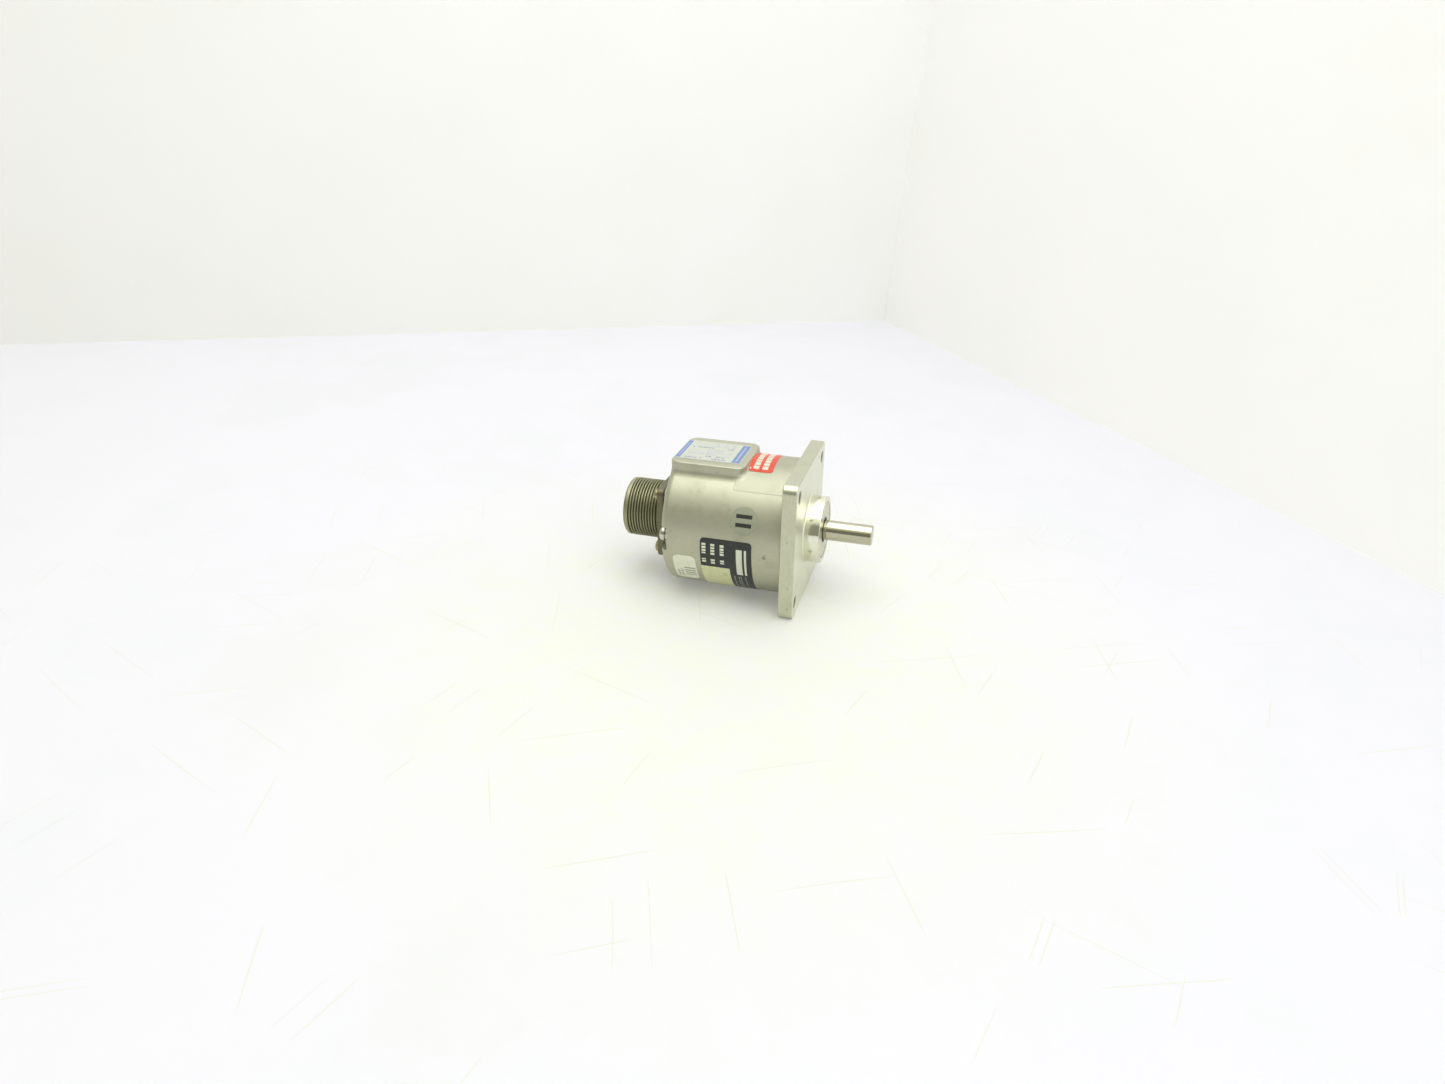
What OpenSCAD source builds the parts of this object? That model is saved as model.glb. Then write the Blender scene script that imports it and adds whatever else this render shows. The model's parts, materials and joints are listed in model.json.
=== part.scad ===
// Shaft rotary encoder with a square mounting flange and a threaded receptacle.
// The origin is on the shaft axis at the flange's front (mounting) face.
// +X runs along the shaft towards its free end, and +Z points to the label pad.
// Angles round the axis are counted from +Z towards +Y, so -90 is the -Y side.

/* [Shaft] */
// Diameter of the shaft and of the bearing bores
shaft_d = 9.525; // [9:0.005:10]
// Free end of the shaft, in front of the mounting face
shaft_reach = 30.25; // [20:0.05:45]
// Chamfer on the free end
shaft_chamfer = 0.5; // [0.2:0.1:1]
// How much smaller the seal journal is than the shaft, on diameter
journal_relief = 0.4; // [0.34:0.02:0.8]
// Shoulder that the rear inner race sits against
shoulder_d = 13; // [12.5:0.1:14]
// Length of that shoulder
shoulder_len = 2.5; // [1.5:0.1:3]
// Stub that carries the disc hub
stub_d = 7; // [6:0.1:7.4]

/* [Flange] */
// Side of the square flange
flange_w = 66; // [65.8:0.1:72]
// Thickness of the flange
flange_t = 6.6; // [5:0.1:9]
// Radius of the flange's four corners
flange_corner_r = 4; // [2:0.1:6]
// Distance between mounting holes along each side
bolt_spacing = 52.37; // [50:0.01:54]
// Diameter of the mounting holes
bolt_hole_d = 5.66; // [4:0.01:6.5]

/* [Pilot] */
// Diameter of the pilot boss
pilot_d = 31.75; // [31:0.01:34]
// Length of the pilot boss
pilot_len = 7.62; // [7:0.01:9]
// Fillet at the foot of the pilot
pilot_fillet = 0.8; // [0.4:0.1:1.5]
// Chamfer on the front edge of the pilot
pilot_chamfer = 0.4; // [0.2:0.1:0.8]
// Diameter of the seal carrier
carrier_d = 27; // [25:0.1:28]
// Depth of the recess that holds the carrier
carrier_depth = 1; // [0.9:0.05:1.4]
// Thickness of the carrier's disc
carrier_t = 0.8; // [0.5:0.05:0.9]
// Hole in the carrier, where the seal shows
carrier_hole_d = 12; // [11.6:0.1:14]

/* [Bearings] */
// Outer diameter of both bearings
bearing_od = 22.225; // [22:0.005:23]
// Width of both bearings
bearing_w = 7.142; // [7.1:0.01:7.6]
// Ball diameter
ball_d = 3.969; // [3.7:0.001:4.2]
// Balls in each bearing
ball_count = 7; // [5:1:8]
// Depth of the front bearing below the pilot's face
bearing_inset = 4.68; // [4.4:0.01:5]
// Wall of the bearing barrel
barrel_wall = 3.4; // [2:0.1:3.6]
// Thickness of the two bearing retaining rings
snap_ring_t = 0.9; // [0.7:0.05:1]
// Thickness of the conical preload washer's metal
preload_washer_t = 0.3; // [0.2:0.05:0.4]

/* [Cover] */
// Outer diameter of the cover
body_d = 64.6; // [64:0.1:65.6]
// Rear face of the cover, behind the mounting face
body_len = 63.5; // [62:0.1:75]
// Side wall of the cover
cover_wall = 2.3; // [1.8:0.1:2.4]
// End wall of the cover
cover_end_t = 3; // [2.5:0.1:4]
// Radius of the cover's rear edge
cover_edge_r = 3.4; // [1:0.1:3.8]
// Length of the housing's spigot inside the cover
spigot_len = 5; // [4.5:0.1:6]
// Section of the sealing ring on the spigot
o_ring_section = 1.6; // [1.4:0.05:2]

/* [Label pad] */
// Height of the pad's top above the cover's round side
pad_rise = 0.5; // [0.3:0.1:1.7]
// Width of the pad
pad_w = 34.6; // [30:0.1:38]
// Length of the pad, from the rear face forwards
pad_len = 35.5; // [34:0.1:37]
// Corner radius of the pad
pad_corner_r = 5; // [3:0.1:8]

/* [Cover screws] */
// Distance from the cover's bore to the axes of the cover screws and posts
post_inset = 4; // [3.8:0.05:4.2]
// Thread diameter of the cover screws and post studs
cover_screw_d = 3.5; // [3:0.1:3.8]
// Diameter of the pan heads
cover_head_d = 6.9; // [6:0.1:7.5]
// Height of the pan heads
cover_head_h = 2.6; // [2:0.1:3]
// Diameter of the flat washers
flat_washer_d = 8.6; // [8:0.1:9.5]
// Thickness of the flat washers
flat_washer_t = 0.9; // [0.5:0.1:1.2]
// Thickness of the split washers
lock_washer_t = 1.2; // [0.8:0.1:1.5]
// Width of the notches in the rear rim
notch_w = 11.4; // [10:0.1:12]
// Depth of the notches below the rear face
notch_depth = 3.3; // [2:0.1:3.6]
// Height of the bosses inside the end wall, behind the notches
inner_boss_h = 3; // [2.5:0.1:4]

/* [Code disc] */
// Gap between the edge of the code disc and the posts
disc_edge_gap = 1.5; // [1.1:0.1:2]
// Thickness of the code disc
disc_t = 1.2; // [0.8:0.1:1.6]
// Distance from the disc's edge to the middle of the tracks
track_inset = 3; // [2.7:0.1:3.3]
// Length of the disc hub from the shaft's shoulder to the disc
hub_len = 7.5; // [7:0.1:8]
// Diameter of the hub's sleeve
hub_d = 14.4; // [14:0.1:16]
// Diameter of the hub's flange
hub_flange_d = 20; // [18:0.1:24]
// Thickness of the hub's flange
hub_flange_t = 1.8; // [1.2:0.1:2.4]
// Diameter of the spigot that centres the disc
hub_spigot_d = 13.6; // [13.2:0.1:14.2]
// Diameter of the clamp ring
clamp_d = 19; // [17:0.1:24]
// Thickness of the clamp ring
clamp_t = 1.2; // [0.8:0.1:1.4]
// Thread diameter of the clamp screws
clamp_screw_d = 1.4; // [1.2:0.1:1.5]
// Thread diameter of the hub's set screws
set_screw_d = 2.5; // [2:0.1:3]

/* [Optics] */
// Gap between the disc and the mask
mask_gap = 0.5; // [0.3:0.05:0.8]
// Thickness of the mask
mask_t = 1; // [0.6:0.1:1.2]
// Mask size round the axis
mask_w = 12; // [10:0.1:14]
// Mask size along the radius
mask_h = 6.5; // [5:0.1:7]
// Diameter of the light source
lamp_d = 4; // [3:0.1:4.4]
// Gap between the light source and the disc
lamp_gap = 0.8; // [0.5:0.05:1.2]
// Width of the light source's bracket
bracket_w = 10; // [8:0.1:12]

/* [Boards] */
// Gap between the edge of the boards and the cover's bore
board_edge_gap = 1.5; // [1.2:0.1:2]
// Thickness of both boards
board_t = 1.6; // [1.2:0.1:2]
// Height of the mask's rear face above the sensor board
mask_holder_len = 3.3; // [3:0.1:4.3]
// Space between the boards
board_gap = 5.4; // [5:0.1:6]
// Length of the posts between the driver board and the cover
upper_post_len = 8.8; // [8.4:0.1:10]
// Width across flats of the posts
post_af = 6; // [5.6:0.1:6.2]
// Length of the studs on the posts
stud_len = 4; // [3:0.1:4.2]
// Height of the chips
chip_h = 1.8; // [1:0.1:2.2]
// Length of the small chips
small_chip_len = 9; // [8:0.5:10]
// Width of the small chips
small_chip_w = 5; // [4:0.5:6]
// Length of the large chips
large_chip_len = 14; // [12:0.5:16]
// Width of the large chips
large_chip_w = 6; // [5:0.5:7]
// Distance of the chips near the axis from it, along each side of the board
chip_step = 9; // [8:0.5:10]
// Distance from a board's edge to the middle of the chips and capacitors near it
edge_part_inset = 8; // [7.5:0.1:9]
// Diameter of the capacitors
capacitor_d = 4; // [3:0.1:5]
// Height of the capacitors
capacitor_h = 4.6; // [3:0.1:5.4]
// Outer diameter of the wires
wire_d = 1.2; // [0.8:0.05:1.4]

/* [Receptacle] */
// Height of the boss under the receptacle
boss_h = 2.4; // [1.5:0.1:4]
// Side of the boss
boss_w = 36.5; // [35.4:0.1:38]
// Thickness of the gasket
gasket_t = 0.8; // [0.5:0.1:1.2]
// Side of the receptacle's flange
conn_flange_w = 34.93; // [34:0.01:35.4]
// Thickness of that flange
conn_flange_t = 3.2; // [2.4:0.1:4]
// Corner radius of that flange
conn_corner_r = 3; // [2:0.1:4]
// Distance between the flange screws along each side
conn_spacing = 26.97; // [26:0.01:27.4]
// Thread diameter of the flange screws
conn_screw_d = 2.84; // [2.4:0.01:3]
// Head diameter of the flange screws
conn_head_d = 5.4; // [4.8:0.1:5.8]
// Head height of the flange screws
conn_head_h = 2; // [1.2:0.1:2.2]
// Outer diameter of the shell's thread
thread_d = 28.575; // [28.4:0.005:29]
// Pitch of the shell's thread
thread_pitch = 1.411; // [1.2:0.001:1.6]
// Length of the shell in front of its flange
shell_len = 18.9; // [16:0.1:22]
// Inner diameter of the shell
shell_bore_d = 24.8; // [24:0.1:25.2]
// Depth of the insert's face below the shell's mouth
insert_depth = 13.8; // [12:0.1:14.5]
// Depth of the contacts' tips below the mouth
pin_recess = 5.2; // [4.8:0.1:8]
// Diameter of the contacts
pin_d = 1.6; // [1:0.1:1.8]
// Contacts on the outer circle
pin_count = 8; // [6:1:9]
// Radius of the outer circle of contacts
pin_circle_r = 8.6; // [8:0.1:9.4]
// Half the distance between the two inner contacts
inner_pin_r = 2.8; // [2.2:0.1:4]

/* [Labels] */
// Thickness of every label
label_t = 0.12; // [0.08:0.01:0.2]
// Length of the rating label
rating_len = 31.6; // [20:0.1:33]
// How far the rating label lies in front of the pad's middle
rating_shift = -1.4; // [-1.5:0.1:1.5]
// Width of the rating label
rating_w = 24.4; // [16:0.1:30]
// Length of the red label along the axis
red_len = 12; // [8:0.1:16]
// Half the red label's arc, in degrees
red_half_arc = 21.6; // [12:0.1:28]
// Lower edge of the clear film on each side, in degrees from the top
film_half_arc = 42.5; // [38:0.1:50]
// How far the clear film reaches back along the pad
film_overlap = 3.6; // [1:0.1:6]
// Diameter of the round sticker
round_d = 13; // [9:0.1:15]
// Middle of the round sticker, in front of the cover's rear face
round_from_rear = 39.2; // [38:0.1:46]
// Its angle round the axis
round_angle = -66.3; // [-70:0.1:-60]
// Length of the black label along the axis
black_len = 24.2; // [16:0.1:26]
// Arc of the black label, in degrees
black_arc = 74; // [50:1:84]
// Middle of the black label, in front of the cover's rear face
black_from_rear = 31.6; // [30:0.1:36]
// Its angle round the axis
black_angle = -120.5; // [-126:0.1:-118]
// Length of the white sticker along the axis
white_len = 10.9; // [6:0.1:12]
// Arc of the white sticker, in degrees
white_arc = 33; // [20:1:40]
// Middle of the white sticker, in front of the cover's rear face
white_from_rear = 11.4; // [10:0.1:12.5]
// Its angle round the axis
white_angle = -119.5; // [-124:0.1:-116]

/* [Hidden] */
$fn = 96;
eps = 0.01;
fit_gap = 0.02;      // between pieces that are fixed to each other
running_gap = 0.05;  // shaft in its seal
ball_gap = 0.12;     // between a ball and its races or its cage
free_gap = 0.3;      // between pieces that only pass each other

// Radii that many pieces share
shaft_r = shaft_d / 2;
ball_r = ball_d / 2;
pitch_r = (bearing_od + shaft_d) / 4;
groove_r = ball_r + ball_gap;
race_land = 0.62 * ball_r;
inner_land_r = pitch_r - race_land;
outer_land_r = pitch_r + race_land;
bearing_bore_r = bearing_od / 2 + fit_gap;
barrel_r = bearing_bore_r + barrel_wall;
body_r = body_d / 2;
cover_bore_r = body_r - cover_wall;
stub_r = stub_d / 2;
screw_r = cover_screw_d / 2;
thread_r = thread_d / 2;
journal_r = shaft_r - journal_relief / 2;
pad_top = body_r + pad_rise;
mount_r = cover_bore_r - post_inset;
disc_d = 2 * (mount_r - post_af / 2 - disc_edge_gap);
track_r = disc_d / 2 - track_inset;
board_d = 2 * (cover_bore_r - board_edge_gap);

// Places along the axis, from the cover's rear forwards to the rear bearing
cover_x = -body_len;
cavity_x = cover_x + cover_end_t;
post_end_x = cavity_x + inner_boss_h + 0.1;
board2_rear_x = post_end_x + upper_post_len;
board2_x = board2_rear_x + board_t;
board1_rear_x = board2_x + board_gap;
board1_x = board1_rear_x + board_t;
mask_rear_x = board1_x + mask_holder_len;
mask_x = mask_rear_x + mask_t;
disc_rear_x = mask_x + mask_gap;
disc_x = disc_rear_x + disc_t;
spigot_end_x = disc_rear_x + 0.1;
clamp_rear_x = disc_rear_x - clamp_t;
shoulder_x = disc_x + hub_len;
rear_bearing_x = shoulder_x + shoulder_len;
rear_race_x = rear_bearing_x + bearing_w;

// Places from the mounting face: the spacer between the inner races takes up what is left
front_race_x = pilot_len - bearing_inset;
front_bearing_x = front_race_x - bearing_w;
spigot_x = -flange_t - spigot_len;
seal_seat_x = pilot_len - carrier_depth;
journal_x = seal_seat_x + carrier_t + 0.6;
snap_ring_x = front_race_x + snap_ring_t + fit_gap;
washer_space = 0.9;
bore_ring_x = rear_bearing_x - washer_space;
barrel_end_x = bore_ring_x - snap_ring_t - 1.4;
notch_x = cover_x + notch_depth;
boss_x = cover_x - boss_h;
conn_x = boss_x - gasket_t;
conn_face_x = conn_x - conn_flange_t;
mouth_x = conn_face_x - shell_len;
insert_x = mouth_x + insert_depth;
insert_rear_x = cavity_x + 3;
cup_end_x = insert_rear_x + 3;

// Retaining rings
snap_groove_r = shaft_r - 0.5;
bore_groove_r = bearing_bore_r + 0.7;
snap_ring_gap = 3;

// Shields of the bearings
shield_inset = 0.8;
shield_t = 0.4;
shield_seat_r = outer_land_r + 0.7;

// Cover screws and posts: the top of the rear rim belongs to the label pad, so none is there
mount_angles = [-90, 90, 180];
screw_hole_r = screw_r + 0.15;
boss_r = notch_w / 2 + 1.2;
post_hole_depth = stud_len + 1;
screw_reach = 4.4;

// Receptacle
thread_depth = 0.613 * thread_pitch;
thread_root_r = thread_r - thread_depth;
thread_relief = 1.6;
shell_bore_r = shell_bore_d / 2;
shell_rear_r = shell_bore_r + 1.4;
boss_corner_r = 4;
keyway_w = 3.2;
keyway_depth = 0.35;

// Wires
wire_r = wire_d / 2;
wire_bend_r = 1.9;
cup_r = 1.1;

// Labels
label_r = body_r + fit_gap;
film_r = label_r + label_t + fit_gap;
film_t = 0.05;
pad_front_x = cover_x + pad_len;
label_corner_r = 2;
round_at = [cover_x + round_from_rear, round_angle];    // place along the axis, angle
black_at = [cover_x + black_from_rear, black_angle];
white_at = [cover_x + white_from_rear, white_angle];

// ---- Helpers ----

// Turns what is drawn in XY with its height along Z to stand in YZ with its height along X
module along_x() rotate([90, 0, 90]) children();

// Solid round bar from x0 to x1 on the axis
module bar(x0, x1, r) along_x() translate([0, 0, x0]) cylinder(h = x1 - x0, r = r);

// Ring from x0 to x1
module ring(x0, x1, r_out, r_in) difference() {
    bar(x0, x1, r_out);
    bar(x0 - 1, x1 + 1, r_in);
}

// Body of revolution from points [radius, x]
module turned(points) along_x() rotate_extrude() polygon(points);

// Bar with a round nose at x0
module round_nosed_bar(x0, x1, r) turned(concat(arc(0, x0 + r, r, -90, 0), [[r, x1], [0, x1]]));

// Moves children drawn on the axis out to radius r at an angle
module at_angle(angle, r) rotate([-angle, 0, 0]) translate([0, 0, r]) children();

// A size to the nearest micrometre, so that arcs and straights that touch meet exactly
function tidy(v) = round(v * 1000) / 1000;

// Square with round corners, centred
module rounded_square(w, h, r) {
    corner = tidy(r);
    straight = [tidy(w / 2) - corner, tidy(h / 2) - corner];
    square(2 * [straight[0], straight[1] + corner], center = true);
    square(2 * [straight[0] + corner, straight[1]], center = true);
    for (sx = [-1, 1], sy = [-1, 1])
        translate([sx * straight[0], sy * straight[1]]) circle(r = corner);
}

// Points of a quarter circle from angle a0 to a1
function arc(cx, cy, r, a0, a1, steps = 8) =
    [for (i = [0:steps]) let (a = a0 + (a1 - a0) * i / steps) [cx + r * cos(a), cy + r * sin(a)]];

// Places children on the corners of a square pattern
module on_square(spacing)
    for (sy = [-1, 1], sz = [-1, 1]) translate([0, sy * spacing / 2, sz * spacing / 2]) children();

// ---- Casing ----

module housing() color("gainsboro") difference() {
    union() {
        along_x() translate([0, 0, -flange_t])
            linear_extrude(height = flange_t) rounded_square(flange_w, flange_w, flange_corner_r);
        turned(concat(
            [[0, -flange_t / 2], [pilot_d / 2 + pilot_fillet, -flange_t / 2]],
            arc(pilot_d / 2 + pilot_fillet, pilot_fillet, pilot_fillet, -90, -180),
            [[pilot_d / 2, pilot_len - pilot_chamfer], [pilot_d / 2 - pilot_chamfer, pilot_len],
             [0, pilot_len]]));
        bar(spigot_x, -flange_t / 2, cover_bore_r - fit_gap);
        bar(barrel_end_x, -flange_t / 2, barrel_r);
    }
    on_square(bolt_spacing) bar(-flange_t - 1, 1, bolt_hole_d / 2);
    bar(seal_seat_x, pilot_len + 1, carrier_d / 2);
    bar(front_bearing_x - free_gap, pilot_len, bearing_bore_r);
    bar(barrel_end_x - 1, rear_race_x + free_gap, bearing_bore_r);
    bar(barrel_end_x, pilot_len, outer_land_r + 0.4);
    bar(bore_ring_x - snap_ring_t - fit_gap, bore_ring_x, bore_groove_r);
    // sealing ring's groove
    translate([spigot_x / 2 - flange_t / 2, 0, 0])
        ring(-o_ring_section * 0.6, o_ring_section * 0.6, cover_bore_r + 1,
             cover_bore_r - 0.85 * o_ring_section);
    for (a = mount_angles)
        at_angle(a, mount_r) bar(spigot_x - 1, spigot_x + stud_len + 0.5, screw_r + fit_gap);
}

module cover_o_ring() color("black") {
    section_r = (0.85 * o_ring_section - 2 * fit_gap) / 2;
    translate([spigot_x / 2 - flange_t / 2, 0, 0]) along_x()
        rotate_extrude() translate([cover_bore_r - fit_gap - section_r, 0]) circle(r = section_r);
}

// Solid outside of the cover: a turned can, the label pad and the receptacle's boss
module cover_outside() {
    turned(concat(
        [[0, cover_x]],
        arc(body_r - cover_edge_r, cover_x + cover_edge_r, cover_edge_r, -90, 0),
        [[body_r, -flange_t], [0, -flange_t]]));
    translate([cover_x + pad_len / 2, 0, 0])
        linear_extrude(height = pad_top) rounded_square(pad_len, pad_w, pad_corner_r);
    along_x() translate([0, 0, boss_x])
        linear_extrude(height = boss_h + 1) rounded_square(boss_w, boss_w, boss_corner_r);
}

module cover() color("darkgray") difference() {
    cover_outside();
    difference() {
        bar(cavity_x, 0, cover_bore_r);
        for (a = mount_angles) at_angle(a, mount_r) bar(cavity_x - 1, cavity_x + inner_boss_h, boss_r);
    }
    for (a = mount_angles) at_angle(a, mount_r) {
        bar(cavity_x - 5, post_end_x, screw_hole_r);
        bar(cover_x - 1, notch_x, notch_w / 2);
        translate([cover_x - 1, -notch_w / 2, 0]) cube([notch_depth + 1, notch_w, body_r]);
    }
    bar(boss_x - 1, cavity_x + 1, shell_rear_r + free_gap);
    on_square(conn_spacing) bar(boss_x - 1, boss_x + 4.4, conn_screw_d / 2 + fit_gap);
}

// Pan head with a cross recess, its seat at x and its top towards -X
module pan_head(x, d, h) difference() {
    turned(concat(
        [[0, x], [d / 2, x]],
        [[d / 2, x - 0.45 * h]],
        arc(d / 2 - 0.55 * h, x - 0.45 * h, 0.55 * h, 0, -90, 5),
        [[0, x - h]]));
    for (a = [0, 90]) rotate([a, 0, 0])
        translate([x - h - 1, -0.28 * d, -0.07 * d]) cube([1 + 0.5 * h, 0.56 * d, 0.14 * d]);
}

module cover_screws() color("silver") for (a = mount_angles) at_angle(a, mount_r) {
    head_x = notch_x - flat_washer_t - lock_washer_t;
    pan_head(head_x, cover_head_d, cover_head_h);
    bar(head_x - eps, post_end_x + screw_reach, screw_r);
}

// Split washer: a ring with a slanted cut
module cover_lock_washers() color("silver") for (a = mount_angles) at_angle(a, mount_r)
    difference() {
        lock_x = notch_x - flat_washer_t - lock_washer_t;
        ring(lock_x, lock_x + lock_washer_t, screw_r + 1.45, screw_r + 0.1);
        translate([lock_x + lock_washer_t / 2, 0, 0]) rotate([0, 0, 35])
            translate([-3, -0.25, 0]) cube([6, 0.5, 2 * screw_r + 3]);
    }

module cover_flat_washers() color("silver") for (a = mount_angles) at_angle(a, mount_r)
    ring(notch_x - flat_washer_t, notch_x, flat_washer_d / 2, screw_r + 0.1);

// ---- Seal ----

module seal_carrier() color("gainsboro") {
    sleeve_r = bearing_bore_r - 2 * fit_gap;
    difference() {
        union() {
            bar(seal_seat_x, seal_seat_x + carrier_t, carrier_d / 2 - fit_gap);
            bar(front_race_x, seal_seat_x + eps, sleeve_r);
        }
        bar(front_race_x - 1, seal_seat_x, shield_seat_r);
        bar(front_race_x, pilot_len + 1, carrier_hole_d / 2);
    }
}

module shaft_seal() color("black") turned([
    [journal_r + running_gap, snap_ring_x + 0.4],
    [shield_seat_r - fit_gap, snap_ring_x + 0.4],
    [shield_seat_r - fit_gap, seal_seat_x - fit_gap],
    [carrier_hole_d / 2 - fit_gap, seal_seat_x - fit_gap],
    [carrier_hole_d / 2 - fit_gap, seal_seat_x + 0.45 * carrier_t],
    [journal_r + running_gap + 0.3, seal_seat_x + 0.75 * carrier_t],
    [journal_r + running_gap, seal_seat_x + 0.6 * carrier_t]]);

// ---- Rotor ----

module shaft() color("lightgray") turned([
    [0, spigot_end_x],
    [stub_r, spigot_end_x],
    [stub_r, shoulder_x],
    [shoulder_d / 2, shoulder_x],
    [shoulder_d / 2, rear_bearing_x],
    [shaft_r, rear_bearing_x],
    [shaft_r, front_race_x],
    [snap_groove_r, front_race_x],
    [snap_groove_r, snap_ring_x],
    [journal_r, snap_ring_x],
    [journal_r, journal_x],
    [shaft_r, journal_x],
    [shaft_r, shaft_reach - shaft_chamfer],
    [shaft_r - shaft_chamfer, shaft_reach],
    [0, shaft_reach]]);

// Open ring with a gap at the given angle
module open_ring(x0, x1, r_out, r_in, angle) difference() {
    ring(x0, x1, r_out, r_in);
    rotate([-angle, 0, 0])
        translate([x0 - 1, -snap_ring_gap / 2, 0]) cube([x1 - x0 + 2, snap_ring_gap, r_out + 1]);
}

module shaft_snap_ring() color("dimgray")
    open_ring(front_race_x + fit_gap / 2, front_race_x + snap_ring_t, shaft_r + 1.6,
              snap_groove_r + fit_gap, 30);

module bore_retaining_ring() color("dimgray")
    open_ring(bore_ring_x - snap_ring_t, bore_ring_x - fit_gap, bore_groove_r - fit_gap,
              bearing_od / 2 - 1.9, 180);

module bearing_spacer() color("silver")
    ring(rear_race_x, front_bearing_x, inner_land_r - 0.3, shaft_r + fit_gap);

module preload_washer() color("goldenrod") {
    r_out = bearing_od / 2 - 0.15;
    r_in = bearing_od / 2 - 1.7;
    turned([
        [r_out, rear_bearing_x - fit_gap],
        [r_out, rear_bearing_x - fit_gap - preload_washer_t],
        [r_in, bore_ring_x + fit_gap],
        [r_in, bore_ring_x + fit_gap + preload_washer_t]]);
}

// Groove in which the balls of the bearing at x run
module ball_groove(x) translate([x + bearing_w / 2, 0, 0]) along_x()
    rotate_extrude() translate([pitch_r, 0]) circle(r = groove_r);

module outer_race(x) difference() {
    ring(x, x + bearing_w, bearing_od / 2, outer_land_r);
    bar(x - 1, x + shield_inset, shield_seat_r);
    bar(x + bearing_w - shield_inset, x + bearing_w + 1, shield_seat_r);
    ball_groove(x);
}

module inner_race(x) difference() {
    ring(x, x + bearing_w, inner_land_r, shaft_r + fit_gap);
    ball_groove(x);
}

module balls(x) for (i = [0:ball_count - 1])
    rotate([360 / ball_count * i, 0, 0]) translate([x + bearing_w / 2, 0, pitch_r]) sphere(r = ball_r);

// Crown cage: its closed side faces the middle of the barrel
module cage(x, side) difference() {
    middle = x + bearing_w / 2;
    closed = side * (groove_r + 0.5);
    open = -side * 0.6 * ball_r;
    ring(middle + min(closed, open), middle + max(closed, open), pitch_r + 0.75, pitch_r - 0.75);
    for (i = [0:ball_count - 1])
        rotate([360 / ball_count * i, 0, 0]) translate([middle, 0, pitch_r]) sphere(r = groove_r);
}

module shields(x) for (x0 = [x + shield_inset - shield_t, x + bearing_w - shield_inset])
    ring(x0, x0 + shield_t, shield_seat_r - fit_gap, inner_land_r + free_gap / 2);

module front_outer_race() color("silver") outer_race(front_bearing_x);
module front_inner_race() color("silver") inner_race(front_bearing_x);
module front_balls() color("lightgray") balls(front_bearing_x);
module front_cage() color("khaki") cage(front_bearing_x, -1);
module front_shields() color("gray") shields(front_bearing_x);
module rear_outer_race() color("silver") outer_race(rear_bearing_x);
module rear_inner_race() color("silver") inner_race(rear_bearing_x);
module rear_balls() color("lightgray") balls(rear_bearing_x);
module rear_cage() color("khaki") cage(rear_bearing_x, 1);
module rear_shields() color("gray") shields(rear_bearing_x);

clamp_screw_angles = [0, 120, 240];
clamp_screw_at = (stub_r + hub_spigot_d / 2) / 2;
set_screw_angles = [0, 90];
set_screw_x = (shoulder_x + disc_x + hub_flange_t) / 2;

module disc_hub() color("tan") difference() {
    union() {
        bar(disc_x, shoulder_x, hub_d / 2);
        bar(disc_x, disc_x + hub_flange_t, hub_flange_d / 2);
        bar(spigot_end_x, disc_x + eps, hub_spigot_d / 2);
    }
    bar(spigot_end_x - 1, shoulder_x + 1, stub_r + fit_gap);
    for (a = clamp_screw_angles)
        at_angle(a, clamp_screw_at) bar(spigot_end_x - 1, disc_x + 2, clamp_screw_d / 2 + fit_gap);
    for (a = set_screw_angles)
        rotate([-a, 0, 0]) translate([set_screw_x, 0, 0]) cylinder(h = hub_d, r = set_screw_d / 2 + fit_gap);
}

module hub_set_screws() color("dimgray") for (a = set_screw_angles)
    rotate([-a, 0, 0]) translate([set_screw_x, 0, stub_r + fit_gap]) difference() {
        length = hub_d / 2 - stub_r - 0.4;
        cylinder(h = length, r = set_screw_d / 2);
        translate([0, 0, length - 1]) cylinder(h = 2, r = set_screw_d / 4, $fn = 6);
    }

module code_disc() color("lightblue", 0.5)
    ring(disc_rear_x, disc_x, disc_d / 2, hub_spigot_d / 2 + fit_gap);

module disc_clamp() color("tan") difference() {
    ring(clamp_rear_x, disc_rear_x, clamp_d / 2, stub_r - 0.5);
    for (a = clamp_screw_angles)
        at_angle(a, clamp_screw_at) bar(clamp_rear_x - 1, disc_rear_x + 1, clamp_screw_d / 2 + 0.08);
}

module disc_clamp_screws() color("silver") for (a = clamp_screw_angles) at_angle(a, clamp_screw_at) {
    pan_head(clamp_rear_x, 1.9 * clamp_screw_d, 0.5 * clamp_screw_d);
    bar(clamp_rear_x - eps, disc_x + 1.6, clamp_screw_d / 2);
}

// ---- Optics ----

lamp_tip_x = disc_x + lamp_gap;
bracket_x = lamp_tip_x + lamp_d / 2 + 0.8;
lead_at = disc_d / 2 + 1.6;
bracket_low = barrel_r + 0.3;

// Post that stands on the spigot beside the bearing barrel, over the disc's tracks
module light_source_bracket() color("dimgray") difference() {
    union() {
        translate([bracket_x, -bracket_w / 2, bracket_low])
            cube([spigot_x - bracket_x, bracket_w, track_r + lamp_d / 2 + 1 - bracket_low]);
        translate([bracket_x + 8, -bracket_w / 2, bracket_low])
            cube([spigot_x - bracket_x - 8, bracket_w, lead_at + wire_r + 0.6 - bracket_low]);
    }
    translate([0, 0, track_r]) bar(bracket_x - 1, bracket_x + 3.4, lamp_d / 2 + fit_gap);
}

module light_source() color("lightcyan") translate([0, 0, track_r])
    round_nosed_bar(lamp_tip_x, bracket_x + 3.2, lamp_d / 2);

module lamp_leads() for (side = [-1, 1]) color(side > 0 ? "firebrick" : "black")
    translate([0, side * bracket_w / 4, lead_at]) bar(board1_x, bracket_x + 8, wire_r);

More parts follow.
